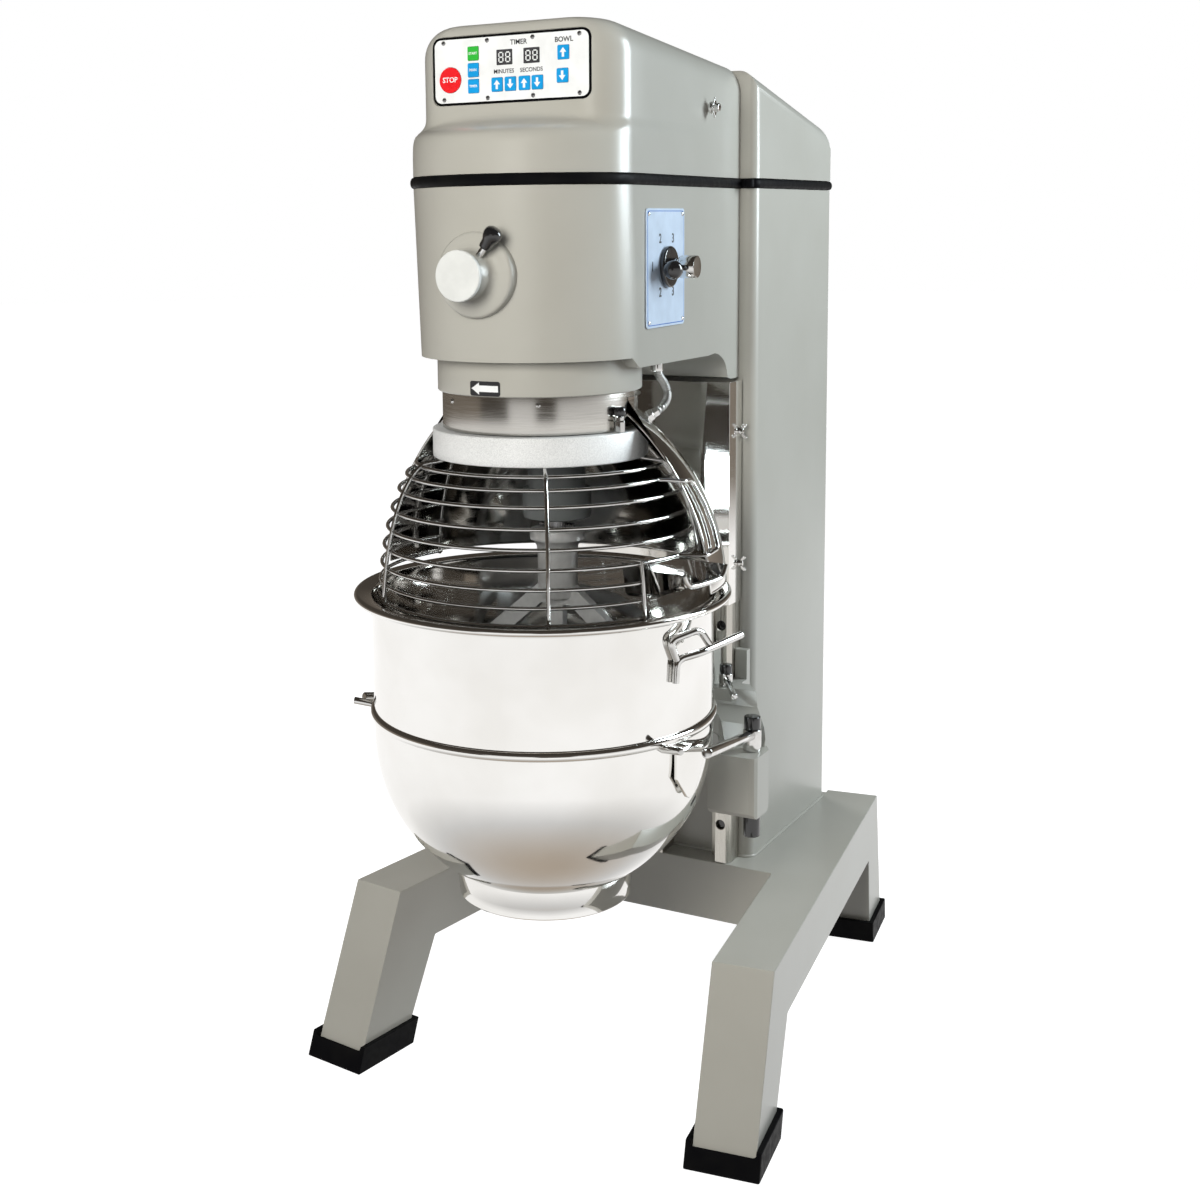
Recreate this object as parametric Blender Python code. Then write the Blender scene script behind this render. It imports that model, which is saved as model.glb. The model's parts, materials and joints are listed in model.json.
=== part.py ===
"""Floor-standing planetary mixer of the 80 quart class, in metres, +Z up.

Every piece is modelled around the mixing axis, the vertical line that the bowl and the planetary head
share, with the front of the machine at -Y and the floor at Z = 0. The empty "mixing_axis" carries them
all and puts the middle of the footprint at the origin.
"""

import math

import bmesh
import bpy
from mathutils import Matrix, Vector

# ---------------------------------------------------------------- driving dimensions
GAP = 0.0003  # kept between touching pieces
LEVEL = Vector((0.0, 0.0, 1.0))

# base frame: two splayed beams on raked legs, joined by a deep cross member
BEAM_CORNER = (0.2775, 0.0060)  # inner front top corner of the right beam, in plan
BEAM_SPLAY = math.radians(7.5)
BEAM_LENGTH = 0.815
BEAM_WIDTH = 0.095
BASE_TOP = 0.267
BASE_UNDERSIDE = 0.163
LEG_BOTTOM = 0.012
FOOT_HEIGHT = 0.040
FOOT_LIP = 0.009
CROSS_FRONT = 0.368
CROSS_REAR = 0.800

# column
COLUMN_HALF_WIDTH = 0.175
COLUMN_FRONT = 0.4145
COLUMN_REAR = 0.786
COLUMN_WALL = 0.004
COLUMN_CORNER = 0.010
SEAM_LOW = 1.407
SEAM_HIGH = 1.423
COLUMN_COVER_FRONT_TOP = 1.598
COLUMN_COVER_SLOPE = math.radians(11.5)
COLUMN_COVER_REAR_TOP = 1.485
COVER_WALL = 0.004

# head: a drum that runs back to the column as a narrowing neck
DRUM_RADIUS = 0.182
DRUM_DRAFT = 0.009
DRUM_FLOOR = 1.163
NECK_UNDERSIDE = 1.146
NECK_HALF_WIDTH = 0.148
NECK_FOOT = 1.098
HOUSING_WALL = 0.008
COLLAR_RADIUS = 0.152
COLLAR_LOW = 1.112
COVER_LEDGE_HIGH = 1.503
HOOD_FRONT = -0.080
HOOD_HALF_WIDTH = 0.168
HOOD_CORNER = 0.056
HOOD_TOP = 1.637
HOOD_REAR_TOP = 1.590

# collar band, guard ring and planetary parts, below the head
BAND_RADIUS = 0.1455
BAND_WALL = 0.003
BAND_LOW = 1.0575
RING_RADIUS = 0.161
RING_WALL = 0.0225
RING_LOW = 1.0136
RING_HIGH = 1.056
PLANET_OFFSET = 0.068
PLANET_AZIMUTH = math.radians(188)
CARRIER_RADIUS = 0.126
CARRIER_LOW = 1.020
CARRIER_HIGH = 1.040
PLANET_BOSS_RADIUS = 0.053
PLANET_BOSS_LOW = 0.905
RING_TEETH = 36
PLANET_TEETH = 12
WHEEL_TEETH = 24
WHEEL_RADIUS = 0.086
SPINDLE_TEETH = 12
TOOTH_DEPTH = 0.010
SHAFT_RADIUS = 0.016

# bowl and its band
BOWL_RIM_RADIUS = 0.285
BOWL_RADIUS = 0.2586
BOWL_WALL = 0.0030
BOWL_RIM_TOP = 0.811
BOWL_BAND_Z = 0.625
BOWL_BAND_RADIUS = 0.2650
BOWL_ROUND_TOP = 0.600
BOWL_FOOT_RADIUS = 0.1334
BOWL_FOOT_HIGH = 0.352
BOWL_FOOT_LOW = 0.3325
LUG_OUTLINE = (
    (-0.044, 0.606),
    (0.032, 0.606),
    (0.032, 0.576),
    (0.004, 0.530),
    (-0.014, 0.532),
    (-0.044, 0.566),
)
HANDLE_WIRE = 0.0052

# guard
CAGE_LEVELS = (1.0045, 0.988, 0.966, 0.9375, 0.910, 0.8825, 0.856, 0.831)
CAGE_RADIUS = 0.2445
CAGE_WIRE = 0.0030
CAGE_FROM = math.radians(-109)
CAGE_TO = math.radians(101)
CHUTE_FROM = math.radians(64)
SHIELD_RADIUS = 0.277
SHIELD_LOW = 0.826
SHIELD_RISE = 0.3127
SHIELD_TOP = 1.100
SHIELD_WALL = 0.003

# slide, carriage and yoke
RAIL_FRONT = 0.371
RAIL_INNER = 0.126
RAIL_OUTER = 0.152
RAIL_HIGH = 1.080
SPLASH_LOW = 0.722
SPLASH_HIGH = 1.094
SPLASH_WALL = 0.002
SCREW_RADIUS = 0.014
SCREW_Y = 0.390
ARM_INNER = 0.187
ARM_OUTER = 0.268
ARM_FRONT = 0.197
ARM_REAR = 0.264
ARM_LOW = 0.420
ARM_BACK_LOW = 0.443
ARM_HIGH = 0.520
CLAMP_AXIS = (0.245, 0.241)
CLAMP_PIN_LOW = 0.379
CLAMP_HUB_TOP = 0.555
CLAMP_CAP_TOP = 0.5765
CLAMP_LEVER_RADIUS = 0.0082
REAR_CLAMP_AXIS = (0.158, 0.340)

# controls
PANEL_HALF_WIDTH = 0.1255
PANEL_LOW = 1.5285
PANEL_HIGH = 1.618
PANEL_FACE = -0.0765
KEY_STAND = 0.0012
HUB_Z = 1.285
HUB_RADIUS = 0.0355
HUB_FACE = -0.229
SELECTOR_Y = 0.086
SELECTOR_Z = 1.289
COVER_LATCH = (0.265, 1.528)

# the footprint runs from the bowl's rim to the outer corners of the rear feet
FOOT_REACH = 0.879
FRONT_EXTENT = -BOWL_RIM_RADIUS
REAR_EXTENT = (
    BEAM_CORNER[1]
    + FOOT_REACH * math.cos(BEAM_SPLAY)
    + (BEAM_WIDTH + FOOT_LIP) * math.sin(BEAM_SPLAY)
)
AXIS_Y = -(FRONT_EXTENT + REAR_EXTENT) / 2

COLOURS = {
    "body_paint": ((0.47, 0.455, 0.41), 0.38, 0.1),
    "rubber": ((0.012, 0.012, 0.013), 0.6, 0.0),
    "polished_steel": ((0.80, 0.79, 0.77), 0.08, 1.0),
    "brushed_steel": ((0.62, 0.61, 0.58), 0.28, 1.0),
    "satin_aluminium": ((0.60, 0.61, 0.61), 0.40, 0.9),
    "chrome": ((0.83, 0.83, 0.83), 0.06, 1.0),
    "black_plastic": ((0.015, 0.015, 0.016), 0.25, 0.0),
    "white_plastic": ((0.80, 0.81, 0.82), 0.35, 0.0),
    "panel_white": ((0.78, 0.80, 0.83), 0.35, 0.0),
    "key_blue": ((0.02, 0.32, 0.68), 0.35, 0.0),
    "key_green": ((0.03, 0.42, 0.05), 0.35, 0.0),
    "key_red": ((0.75, 0.02, 0.03), 0.35, 0.0),
    "gear_steel": ((0.35, 0.35, 0.36), 0.35, 1.0),
    "slide_steel": ((0.55, 0.54, 0.50), 0.35, 0.8),
    "motor_grey": ((0.25, 0.27, 0.28), 0.5, 0.3),
}


# ---------------------------------------------------------------- scene helpers
def clear_scene():
    for obj in list(bpy.data.objects):
        bpy.data.objects.remove(obj, do_unlink=True)


def material(slot):
    found = bpy.data.materials.get(slot)
    if found:
        return found
    colour, roughness, metallic = COLOURS[slot]
    made = bpy.data.materials.new(slot)
    made.use_nodes = True
    shader = made.node_tree.nodes["Principled BSDF"]
    shader.inputs["Base Color"].default_value = (*colour, 1.0)
    shader.inputs["Roughness"].default_value = roughness
    shader.inputs["Metallic"].default_value = metallic
    return made


def link(name, mesh):
    obj = bpy.data.objects.new(name, mesh)
    bpy.context.scene.collection.objects.link(obj)
    return obj


def mesh_from(name, points, faces):
    mesh = bpy.data.meshes.new(name)
    mesh.from_pydata([tuple(p) for p in points], [], faces)
    work = bmesh.new()
    work.from_mesh(mesh)
    bmesh.ops.remove_doubles(work, verts=work.verts, dist=1e-6)
    bmesh.ops.recalc_face_normals(work, faces=work.faces)
    work.to_mesh(mesh)
    work.free()
    return link(name, mesh)


def combine(operation, first, *others):
    """Joins or cuts closed solids with an exact Boolean, and removes the ones it used up."""
    for other in others:
        modifier = first.modifiers.new(operation.lower(), "BOOLEAN")
        modifier.operation = operation
        modifier.solver = "EXACT"
        modifier.object = other
        graph = bpy.context.evaluated_depsgraph_get()
        mesh = bpy.data.meshes.new_from_object(first.evaluated_get(graph))
        first.modifiers.clear()
        old = first.data
        first.data = mesh
        bpy.data.meshes.remove(old)
        bpy.data.objects.remove(other, do_unlink=True)
    return first


def union(first, *others):
    return combine("UNION", first, *others)


def cut(first, *others):
    return combine("DIFFERENCE", first, *others)


def common(first, *others):
    return combine("INTERSECT", first, *others)


# ---------------------------------------------------------------- shape helpers
def loft(name, sections):
    """A closed solid through loops of equal length, capped at both ends."""
    count = len(sections[0])
    points = [p for section in sections for p in section]
    faces = []
    for level in range(len(sections) - 1):
        base = level * count
        for i in range(count):
            j = (i + 1) % count
            faces.append((base + i, base + j, base + count + j, base + count + i))
    faces.append(tuple(reversed(range(count))))
    faces.append(tuple(range(len(points) - count, len(points))))
    return mesh_from(name, points, faces)


def prism(name, outline, low, high):
    """An outline in plan, raised from one level to another."""
    return loft(name, [[(x, y, z) for x, y in outline] for z in (low, high)])


def side_prism(name, outline, low, high):
    """An outline of (y, z) points, extended along X."""
    return loft(name, [[(x, y, z) for y, z in outline] for x in (low, high)])


def box(name, low, high):
    corners = ((low[0], low[1]), (high[0], low[1]), (high[0], high[1]), (low[0], high[1]))
    return prism(name, corners, low[2], high[2])


def circle(radius, count, turn=0.0):
    steps = [turn + 2 * math.pi * i / count for i in range(count)]
    return [(radius * math.cos(a), radius * math.sin(a)) for a in steps]


def cylinder(name, start, end, radius, count=24, end_radius=None):
    """A round bar or cone between two points."""
    start = Vector(start)
    end = Vector(end)
    turn = LEVEL.rotation_difference(end - start).to_matrix()
    rings = []
    for centre, r in ((start, radius), (end, radius if end_radius is None else end_radius)):
        rings.append([centre + turn @ Vector((x, y, 0)) for x, y in circle(r, count)])
    return loft(name, rings)


def turned(name, profile, count=48, centre=(0.0, 0.0)):
    """A closed outline of (radius, z) points turned a full circle about a vertical axis."""
    points = []
    faces = []
    size = len(profile)
    for i in range(count):
        angle = 2 * math.pi * i / count
        for r, z in profile:
            points.append((centre[0] + r * math.cos(angle), centre[1] + r * math.sin(angle), z))
    for i in range(count):
        here = i * size
        after = (i + 1) % count * size
        for k in range(size):
            m = (k + 1) % size
            faces.append((here + k, after + k, after + m, here + m))
    return mesh_from(name, points, faces)


def pipe(name, inner, outer, low, high, count=48, centre=(0.0, 0.0)):
    return turned(name, [(inner, low), (outer, low), (outer, high), (inner, high)], count, centre)


def rod(name, path, radius, count=8):
    """A bent rod of constant thickness along a list of points."""
    path = [Vector(p) for p in path]
    tangents = []
    for i, point in enumerate(path):
        before = path[max(i - 1, 0)]
        after = path[min(i + 1, len(path) - 1)]
        tangents.append((after - before).normalized())
    across = tangents[0].orthogonal().normalized()
    rings = []
    for i, point in enumerate(path):
        if i:
            across = tangents[i - 1].rotation_difference(tangents[i]).to_matrix() @ across
        across = (across - tangents[i] * across.dot(tangents[i])).normalized()
        side = tangents[i].cross(across)
        ring = []
        for x, y in circle(radius, count):
            ring.append(point + across * x + side * y)
        rings.append(ring)
    return loft(name, rings)


def rounded_path(corners, radius, steps=4):
    """The corner points of a bent rod, each bend rounded off."""
    corners = [Vector(c) for c in corners]
    path = [corners[0]]
    for before, corner, after in zip(corners, corners[1:], corners[2:]):
        start = corner + (before - corner).normalized() * radius
        end = corner + (after - corner).normalized() * radius
        for k in range(steps + 1):
            t = k / steps
            path.append(start * (1 - t) ** 2 + corner * 2 * t * (1 - t) + end * t**2)
    path.append(corners[-1])
    return path


def compass(radius, azimuth, z):
    """A point around the mixing axis; azimuth 0 is the front and grows towards +X."""
    return Vector((radius * math.sin(azimuth), -radius * math.cos(azimuth), z))


def shade(obj, angle=35):
    obj.data.shade_smooth()
    obj.data.set_sharp_from_angle(angle=math.radians(angle))


def place(obj, slot, pivot=(0.0, 0.0, 0.0), smooth=True):
    """Gives a finished piece its material and its origin, and hangs it on the mixing axis."""
    pivot = Vector(pivot)
    obj.data.materials.clear()
    obj.data.materials.append(material(slot))
    obj.data.transform(Matrix.Translation(-pivot))
    obj.location = pivot
    obj.parent = bpy.data.objects["mixing_axis"]
    if smooth:
        shade(obj)
    return obj


# ---------------------------------------------------------------- base
def beam_point(along, across, z, side=1):
    """A point on a beam: along runs to the rear, across runs outwards from the inner face."""
    x = BEAM_CORNER[0] - along * math.sin(BEAM_SPLAY) + across * math.cos(BEAM_SPLAY)
    y = BEAM_CORNER[1] + along * math.cos(BEAM_SPLAY) + across * math.sin(BEAM_SPLAY)
    return (side * x, y, z)


def make_beam(side):
    """A beam with its raked front and rear legs, cut from one side view."""
    outline = (
        (0.0, BASE_TOP),
        (-0.1070, LEG_BOTTOM),
        (0.0080, LEG_BOTTOM),
        (0.0870, BASE_UNDERSIDE),
        (0.7400, BASE_UNDERSIDE),
        (0.7600, LEG_BOTTOM),
        (0.8700, LEG_BOTTOM),
        (BEAM_LENGTH, BASE_TOP),
    )
    faces = [[beam_point(s, across, z, side) for s, z in outline] for across in (0.0, BEAM_WIDTH)]
    return loft("beam", faces)


def make_base():
    frame = make_beam(1)
    inner_front = beam_point((CROSS_FRONT - BEAM_CORNER[1]) / math.cos(BEAM_SPLAY), 0.02, 0)[0]
    inner_rear = beam_point((CROSS_REAR - BEAM_CORNER[1]) / math.cos(BEAM_SPLAY), 0.02, 0)[0]
    outline = (
        (-inner_front, CROSS_FRONT),
        (inner_front, CROSS_FRONT),
        (inner_rear, CROSS_REAR),
        (-inner_rear, CROSS_REAR),
    )
    cross = prism("cross_member", outline, BASE_UNDERSIDE, BASE_TOP)
    frame = union(frame, cross, make_beam(-1))
    frame.name = "base_frame"
    place(frame, "body_paint")


def make_feet():
    """Rubber boots, each with a pocket that takes the end of its leg."""
    ends = {
        "front": ((-0.1210, 0.0150), (-0.1060, 0.0300), -0.1070, 0.0080, 0.0152),
        "rear": ((0.7500, FOOT_REACH), (0.7440, 0.8730), 0.7600, 0.8700, -0.0024),
    }
    for side, side_name in ((1, "right"), (-1, "left")):
        for end_name, (low, high, leg_from, leg_to, lean) in ends.items():
            sections = []
            for (start, end), z in ((low, 0.0), (high, FOOT_HEIGHT)):
                section = []
                for s, across in (
                    (start, -FOOT_LIP),
                    (end, -FOOT_LIP),
                    (end, BEAM_WIDTH + FOOT_LIP),
                    (start, BEAM_WIDTH + FOOT_LIP),
                ):
                    section.append(beam_point(s, across, z, side))
                sections.append(section)
            foot = loft(f"foot_{end_name}_{side_name}", sections)
            pocket_sections = []
            for z, shift in ((LEG_BOTTOM - GAP, 0.0), (FOOT_HEIGHT + 0.01, lean)):
                if end_name == "rear":
                    start, end = leg_from - 0.006, leg_to + 0.001
                else:
                    start, end = leg_from - 0.001, leg_to + shift + 0.004
                section = []
                for s, across in (
                    (start, -GAP * 2),
                    (end, -GAP * 2),
                    (end, BEAM_WIDTH + GAP * 2),
                    (start, BEAM_WIDTH + GAP * 2),
                ):
                    section.append(beam_point(s, across, z, side))
                pocket_sections.append(section)
            cut(foot, loft("pocket", pocket_sections))
            place(foot, "rubber")


# ---------------------------------------------------------------- column
def rounded_rectangle(left, right, front, rear, radius, steps=4):
    outline = []
    corners = ((right - radius, front + radius, -90), (right - radius, rear - radius, 0),
               (left + radius, rear - radius, 90), (left + radius, front + radius, 180))
    for x, y, start in corners:
        for k in range(steps + 1):
            a = math.radians(start + 90 * k / steps)
            outline.append((x + radius * math.cos(a), y + radius * math.sin(a)))
    return outline


def column_outline(inset=0.0):
    half = COLUMN_HALF_WIDTH - inset
    radius = max(COLUMN_CORNER - inset, 0.003)
    return rounded_rectangle(-half, half, COLUMN_FRONT + inset, COLUMN_REAR - inset, radius)


def make_column():
    column = prism("column", column_outline(), BASE_TOP + GAP, SEAM_LOW - GAP)
    hollow = prism("hollow", column_outline(COLUMN_WALL), BASE_TOP - 0.01, SEAM_LOW + 0.01)
    passage = box("passage", (-0.110, COLUMN_FRONT - 0.02, 1.180), (0.110, COLUMN_FRONT + 0.02, 1.380))
    service = box("service", (-0.130, COLUMN_REAR - 0.02, 0.420), (0.130, COLUMN_REAR + 0.02, 1.300))
    cut(column, hollow, passage, service)
    place(column, "body_paint")

    rear = COLUMN_REAR + GAP
    panel = box("rear_panel", (-0.150, rear, 0.400), (0.150, rear + 0.003, 1.320))
    for row in range(6):
        z = 0.480 + row * 0.024
        cut(panel, box("louvre", (-0.090, rear - 0.01, z), (0.090, rear + 0.02, z + 0.009)))
    place(panel, "body_paint")

    gland = cylinder("cable_gland", (0.105, rear, 0.345), (0.105, rear + 0.026, 0.345), 0.014, 16)
    bore = cylinder("bore", (0.105, rear + 0.004, 0.345), (0.105, rear + 0.05, 0.345), 0.008, 16)
    cut(gland, bore)
    place(gland, "black_plastic")


def make_column_cover():
    def solid(inset, low):
        rear_top = COLUMN_COVER_REAR_TOP - inset
        rear = COLUMN_REAR + 0.004 - inset
        front = COLUMN_FRONT + 0.0005 + inset
        top = COLUMN_COVER_FRONT_TOP - inset
        knee = 0.700
        knee_top = top - (knee - COLUMN_FRONT) * math.tan(COLUMN_COVER_SLOPE)
        outline = [(front, low), (rear, low), (rear, rear_top - 0.02), (rear - 0.012, rear_top)]
        outline += [(knee + 0.05, knee_top - 0.0225), (knee, knee_top)]
        outline += [(front + 0.012, top), (front, top - 0.012)]
        sides = side_prism("sides", outline, -0.2, 0.2)
        half = COLUMN_HALF_WIDTH + 0.001 - inset
        lift = 0.022
        sections = []
        for y, high in ((front - 0.01, top), (rear + 0.01, rear_top + 0.03)):
            radius = 0.030
            section = [(half, y, low - 0.01), (half, y, high + lift - radius)]
            for k in range(1, 6):
                a = math.radians(90 * k / 5)
                across = half - radius + radius * math.cos(a)
                section.append((across, y, high - radius + radius * math.sin(a)))
            section += [(-x, yy, z) for x, yy, z in reversed(section)]
            sections.append(section)
        return common(sides, loft("arch", sections))

    cover = solid(0.0, SEAM_HIGH + GAP)
    hollow = solid(COVER_WALL, SEAM_HIGH - 0.01)
    cut(cover, hollow)
    cover.name = "column_cover"
    place(cover, "body_paint")


# ---------------------------------------------------------------- head
def head_outline(taper=0.0, inset=0.0):
    """The head in plan: a drum about the mixing axis that blends into two nearly straight walls."""
    radius = DRUM_RADIUS - DRUM_DRAFT * taper - inset
    turn = math.radians(62 + 4 * taper)
    blend = 0.100 + 0.040 * taper
    half = []
    steps = 10
    for k in range(steps + 1):
        a = turn * k / steps
        half.append((radius * math.sin(a), -radius * math.cos(a)))
    x, y = half[-1]
    wall = math.radians(93)
    for k in range(1, 6):
        a = turn + (wall - turn) * k / 5
        arc_x = x + blend * (math.sin(a) - math.sin(turn))
        arc_y = y + blend * (math.cos(turn) - math.cos(a))
        half.append((arc_x, arc_y))
    rear = COLUMN_FRONT - GAP - (0.03 if inset > 0 else 0.0)
    half.append((NECK_HALF_WIDTH - 0.001 * taper - inset, rear))
    return half + [(-px, py) for px, py in reversed(half[1:])]


def head_prism(name, low, high, inset=0.0):
    span = SEAM_LOW - DRUM_FLOOR
    sections = []
    for z in (low, high):
        taper = min(1.0, (SEAM_LOW - z) / span)
        sections.append([(x, y, z) for x, y in head_outline(taper, inset)])
    return loft(name, sections)


def make_housing():
    profile = [(-0.25, SEAM_LOW - GAP), (-0.25, DRUM_FLOOR), (-0.034, DRUM_FLOOR)]
    profile += [(-0.013, NECK_UNDERSIDE + 0.002), (0.270, NECK_UNDERSIDE - 0.002)]
    for k in range(1, 7):
        a = math.radians(90 - 15 * k)
        profile.append((0.290 + 0.070 * math.cos(a), NECK_FOOT + 0.004 + 0.044 * math.sin(a)))
    profile += [(0.375, NECK_FOOT), (0.45, NECK_FOOT), (0.45, SEAM_LOW - GAP)]
    low = NECK_FOOT - 0.01
    housing = head_prism("gear_housing", low, SEAM_LOW - GAP)
    common(housing, side_prism("view", profile, -0.25, 0.25))
    collar_profile = [
        (0.0, COLLAR_LOW),
        (COLLAR_RADIUS - 0.002, COLLAR_LOW),
        (COLLAR_RADIUS, COLLAR_LOW + 0.002),
        (COLLAR_RADIUS, DRUM_FLOOR + 0.01),
        (0.0, DRUM_FLOOR + 0.01),
    ]
    collar = turned("collar", collar_profile, 40)
    union(housing, collar)
    hollow = head_prism("hollow", DRUM_FLOOR + 0.012, SEAM_LOW + 0.02, HOUSING_WALL)
    seat = cylinder("seat", (0, 0, COLLAR_LOW - 0.01), (0, 0, COLLAR_LOW + 0.030), 0.138, 40)
    bore = cylinder("bore", (0, 0, COLLAR_LOW), (0, 0, DRUM_FLOOR + 0.05), 0.034, 24)
    hub = cylinder("hub", (0, -0.170, HUB_Z), (0, -0.188, HUB_Z), 0.058, 32)
    socket = cylinder("socket", (0, -0.10, HUB_Z), (0, -0.25, HUB_Z), 0.0225, 24)
    cable = cylinder("cable", (0.140, 0.111, 1.10), (0.140, 0.111, 1.20), 0.0085, 12)
    inside, outside = ((x, SELECTOR_Y, SELECTOR_Z) for x in (0.10, 0.20))
    selector = cylinder("selector", inside, outside, 0.0095, 16)
    neck_end = (0, HUB_FACE + 0.0080, HUB_Z)
    neck = cylinder("neck", (0, -0.180, HUB_Z), neck_end, HUB_RADIUS - 0.0025, 32)
    thumb = cylinder("thumb", thumb_point(0.015), thumb_point(0.060), 0.0055, 12)
    cut(housing, hollow)
    union(housing, hub, neck)
    belt_way = box("belt_way", (-0.105, COLUMN_FRONT - 0.06, 1.190), (0.105, COLUMN_FRONT + 0.02, 1.370))
    cut(housing, seat, bore, socket, cable, selector, thumb, belt_way)
    place(housing, "body_paint")


def thumb_direction():
    return Vector((math.sin(math.radians(38)), 0.0, math.cos(math.radians(38))))


def thumb_point(distance):
    """A point on the clamping screw of the attachment hub, measured out from the hub's axis."""
    return Vector((0.0, -0.205, HUB_Z)) + thumb_direction() * distance


def cover_outline(inset):
    """The hood in plan, above the ledge."""
    half = HOOD_HALF_WIDTH - inset
    front = HOOD_FRONT + inset
    radius = HOOD_CORNER - inset
    side = []
    for k in range(7):
        a = math.radians(90 - 15 * k)
        side.append((half - radius + radius * math.cos(a), front + radius - radius * math.sin(a)))
    side.append((NECK_HALF_WIDTH - inset, COLUMN_FRONT - 0.0003))
    return side + [(-x, y) for x, y in reversed(side)]


def cover_solid(inset, low):
    outline = head_outline(0.0, inset)
    levels = (low, COVER_LEDGE_HIGH - inset)
    lower = loft("lower", [[(x, y, z) for x, y in outline] for z in levels])
    ledge = [(-0.30, low - 0.02), (0.45, low - 0.02), (0.45, 1.60), (HOOD_FRONT + 0.02, 1.60)]
    ledge.append((HOOD_FRONT + 0.02, COVER_LEDGE_HIGH - inset))
    ledge.append((HOOD_FRONT, COVER_LEDGE_HIGH - inset - 0.004))
    ledge.append((-0.128, 1.487 - inset))
    radius = 0.034
    for k in range(6):
        a = math.radians(68 + 18.5 * k)
        y = -DRUM_RADIUS + inset + radius + radius * math.cos(a) * 1.02
        ledge.append((y, 1.447 - inset + radius * math.sin(a)))
    ledge.append((-0.30, 1.44))
    lower = common(lower, side_prism("ledge", ledge, -0.25, 0.25))
    hood = prism("hood", cover_outline(inset), low, HOOD_TOP + 0.01)
    sections = []
    for y, top in ((-0.15, HOOD_TOP + 0.008 - inset), (0.45, HOOD_REAR_TOP + 0.012 - inset)):
        half = HOOD_HALF_WIDTH + 0.004 - inset if y < 0 else NECK_HALF_WIDTH - 0.001 - inset
        radius = 0.046
        section = [(half, y, low - 0.01), (half, y, top - radius)]
        for k in range(1, 7):
            a = math.radians(15 * k)
            across = half - radius + radius * math.cos(a)
            section.append((across, y, top - radius + radius * math.sin(a)))
        section += [(-x, yy, z) for x, yy, z in reversed(section)]
        sections.append(section)
    common(hood, loft("arch", sections))
    return union(hood, lower)


def make_head_cover():
    cover = cover_solid(0.0, SEAM_HIGH + GAP)
    hollow = cover_solid(COVER_WALL, SEAM_HIGH - 0.01)
    cut(cover, hollow)
    half = PANEL_HALF_WIDTH + 0.002
    front = HOOD_FRONT - 0.01
    seat = PANEL_FACE + 0.0018
    recess = box("recess", (-half, front, PANEL_LOW - 0.002), (half, seat, PANEL_HIGH + 0.002))
    half = PANEL_HALF_WIDTH - 0.0035
    window = box("window", (-half, front, PANEL_LOW + 0.009), (half, HOOD_FRONT + 0.02, PANEL_HIGH - 0.009))
    cut(cover, recess, window)
    cover.name = "head_cover"
    place(cover, "body_paint")


def make_seam_trim():
    """A rubber strip between the lower castings and the covers, round the head and the column."""
    low = SEAM_LOW + GAP
    high = SEAM_HIGH - GAP
    outer = head_outline(0.0, -0.004)
    trim = loft("seam_trim", [[(x, y, z) for x, y in outer] for z in (low, high)])
    back = prism("back", column_outline(-0.003), low, high)
    union(trim, back)
    cut(trim, prism("front_hole", head_outline(0.0, 0.012), low - 0.01, high + 0.01))
    cut(trim, prism("rear_hole", column_outline(0.012), low - 0.01, high + 0.01))
    door = box("door", (-0.120, 0.36, low - 0.01), (0.120, 0.46, high + 0.01))
    cut(trim, door)
    place(trim, "rubber")


def make_cover_latches():
    y, z = COVER_LATCH
    for side, name in ((1, "cover_latch_right"), (-1, "cover_latch_left")):
        x = side * 0.1620
        stem = cylinder(name, (x, y, z), (x + side * 0.014, y, z), 0.0055, 12)
        middle = x + side * 0.008
        wing = cylinder("wing", (middle, y, z - 0.015), (middle, y, z + 0.015), 0.0030, 8)
        union(stem, wing)
        place(stem, "chrome", (x, y, z))


# ---------------------------------------------------------------- below the head
def make_band_and_ring():
    band = pipe("collar_band", BAND_RADIUS - BAND_WALL, BAND_RADIUS, BAND_LOW, COLLAR_LOW - GAP)
    place(band, "brushed_steel")
    ring = pipe("guard_ring", RING_RADIUS - RING_WALL, RING_RADIUS, RING_LOW, RING_HIGH)
    place(ring, "satin_aluminium")


def gear_outline(teeth, pitch_radius, addendum, dedendum, share, turn=0.0):
    """An outline with straight-sided teeth; share is the part of the pitch a tooth fills at its root."""
    outline = []
    for i in range(teeth):
        middle = turn + 2 * math.pi * i / teeth
        half = math.pi / teeth
        for offset, r in (
            (-half * share * 1.15, pitch_radius - dedendum),
            (-half * share * 0.42, pitch_radius + addendum),
            (half * share * 0.42, pitch_radius + addendum),
            (half * share * 1.15, pitch_radius - dedendum),
        ):
            outline.append((r * math.cos(middle + offset), r * math.sin(middle + offset)))
    return outline


def wheel_outline(teeth, pitch_radius, turn=0.0):
    return gear_outline(teeth, pitch_radius, TOOTH_DEPTH * 0.42, TOOTH_DEPTH * 0.58, 0.58, turn)


def planet_centre():
    point = compass(PLANET_OFFSET, PLANET_AZIMUTH, 0)
    return point.x, point.y


def moved(outline, centre):
    return [(x + centre[0], y + centre[1]) for x, y in outline]


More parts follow.
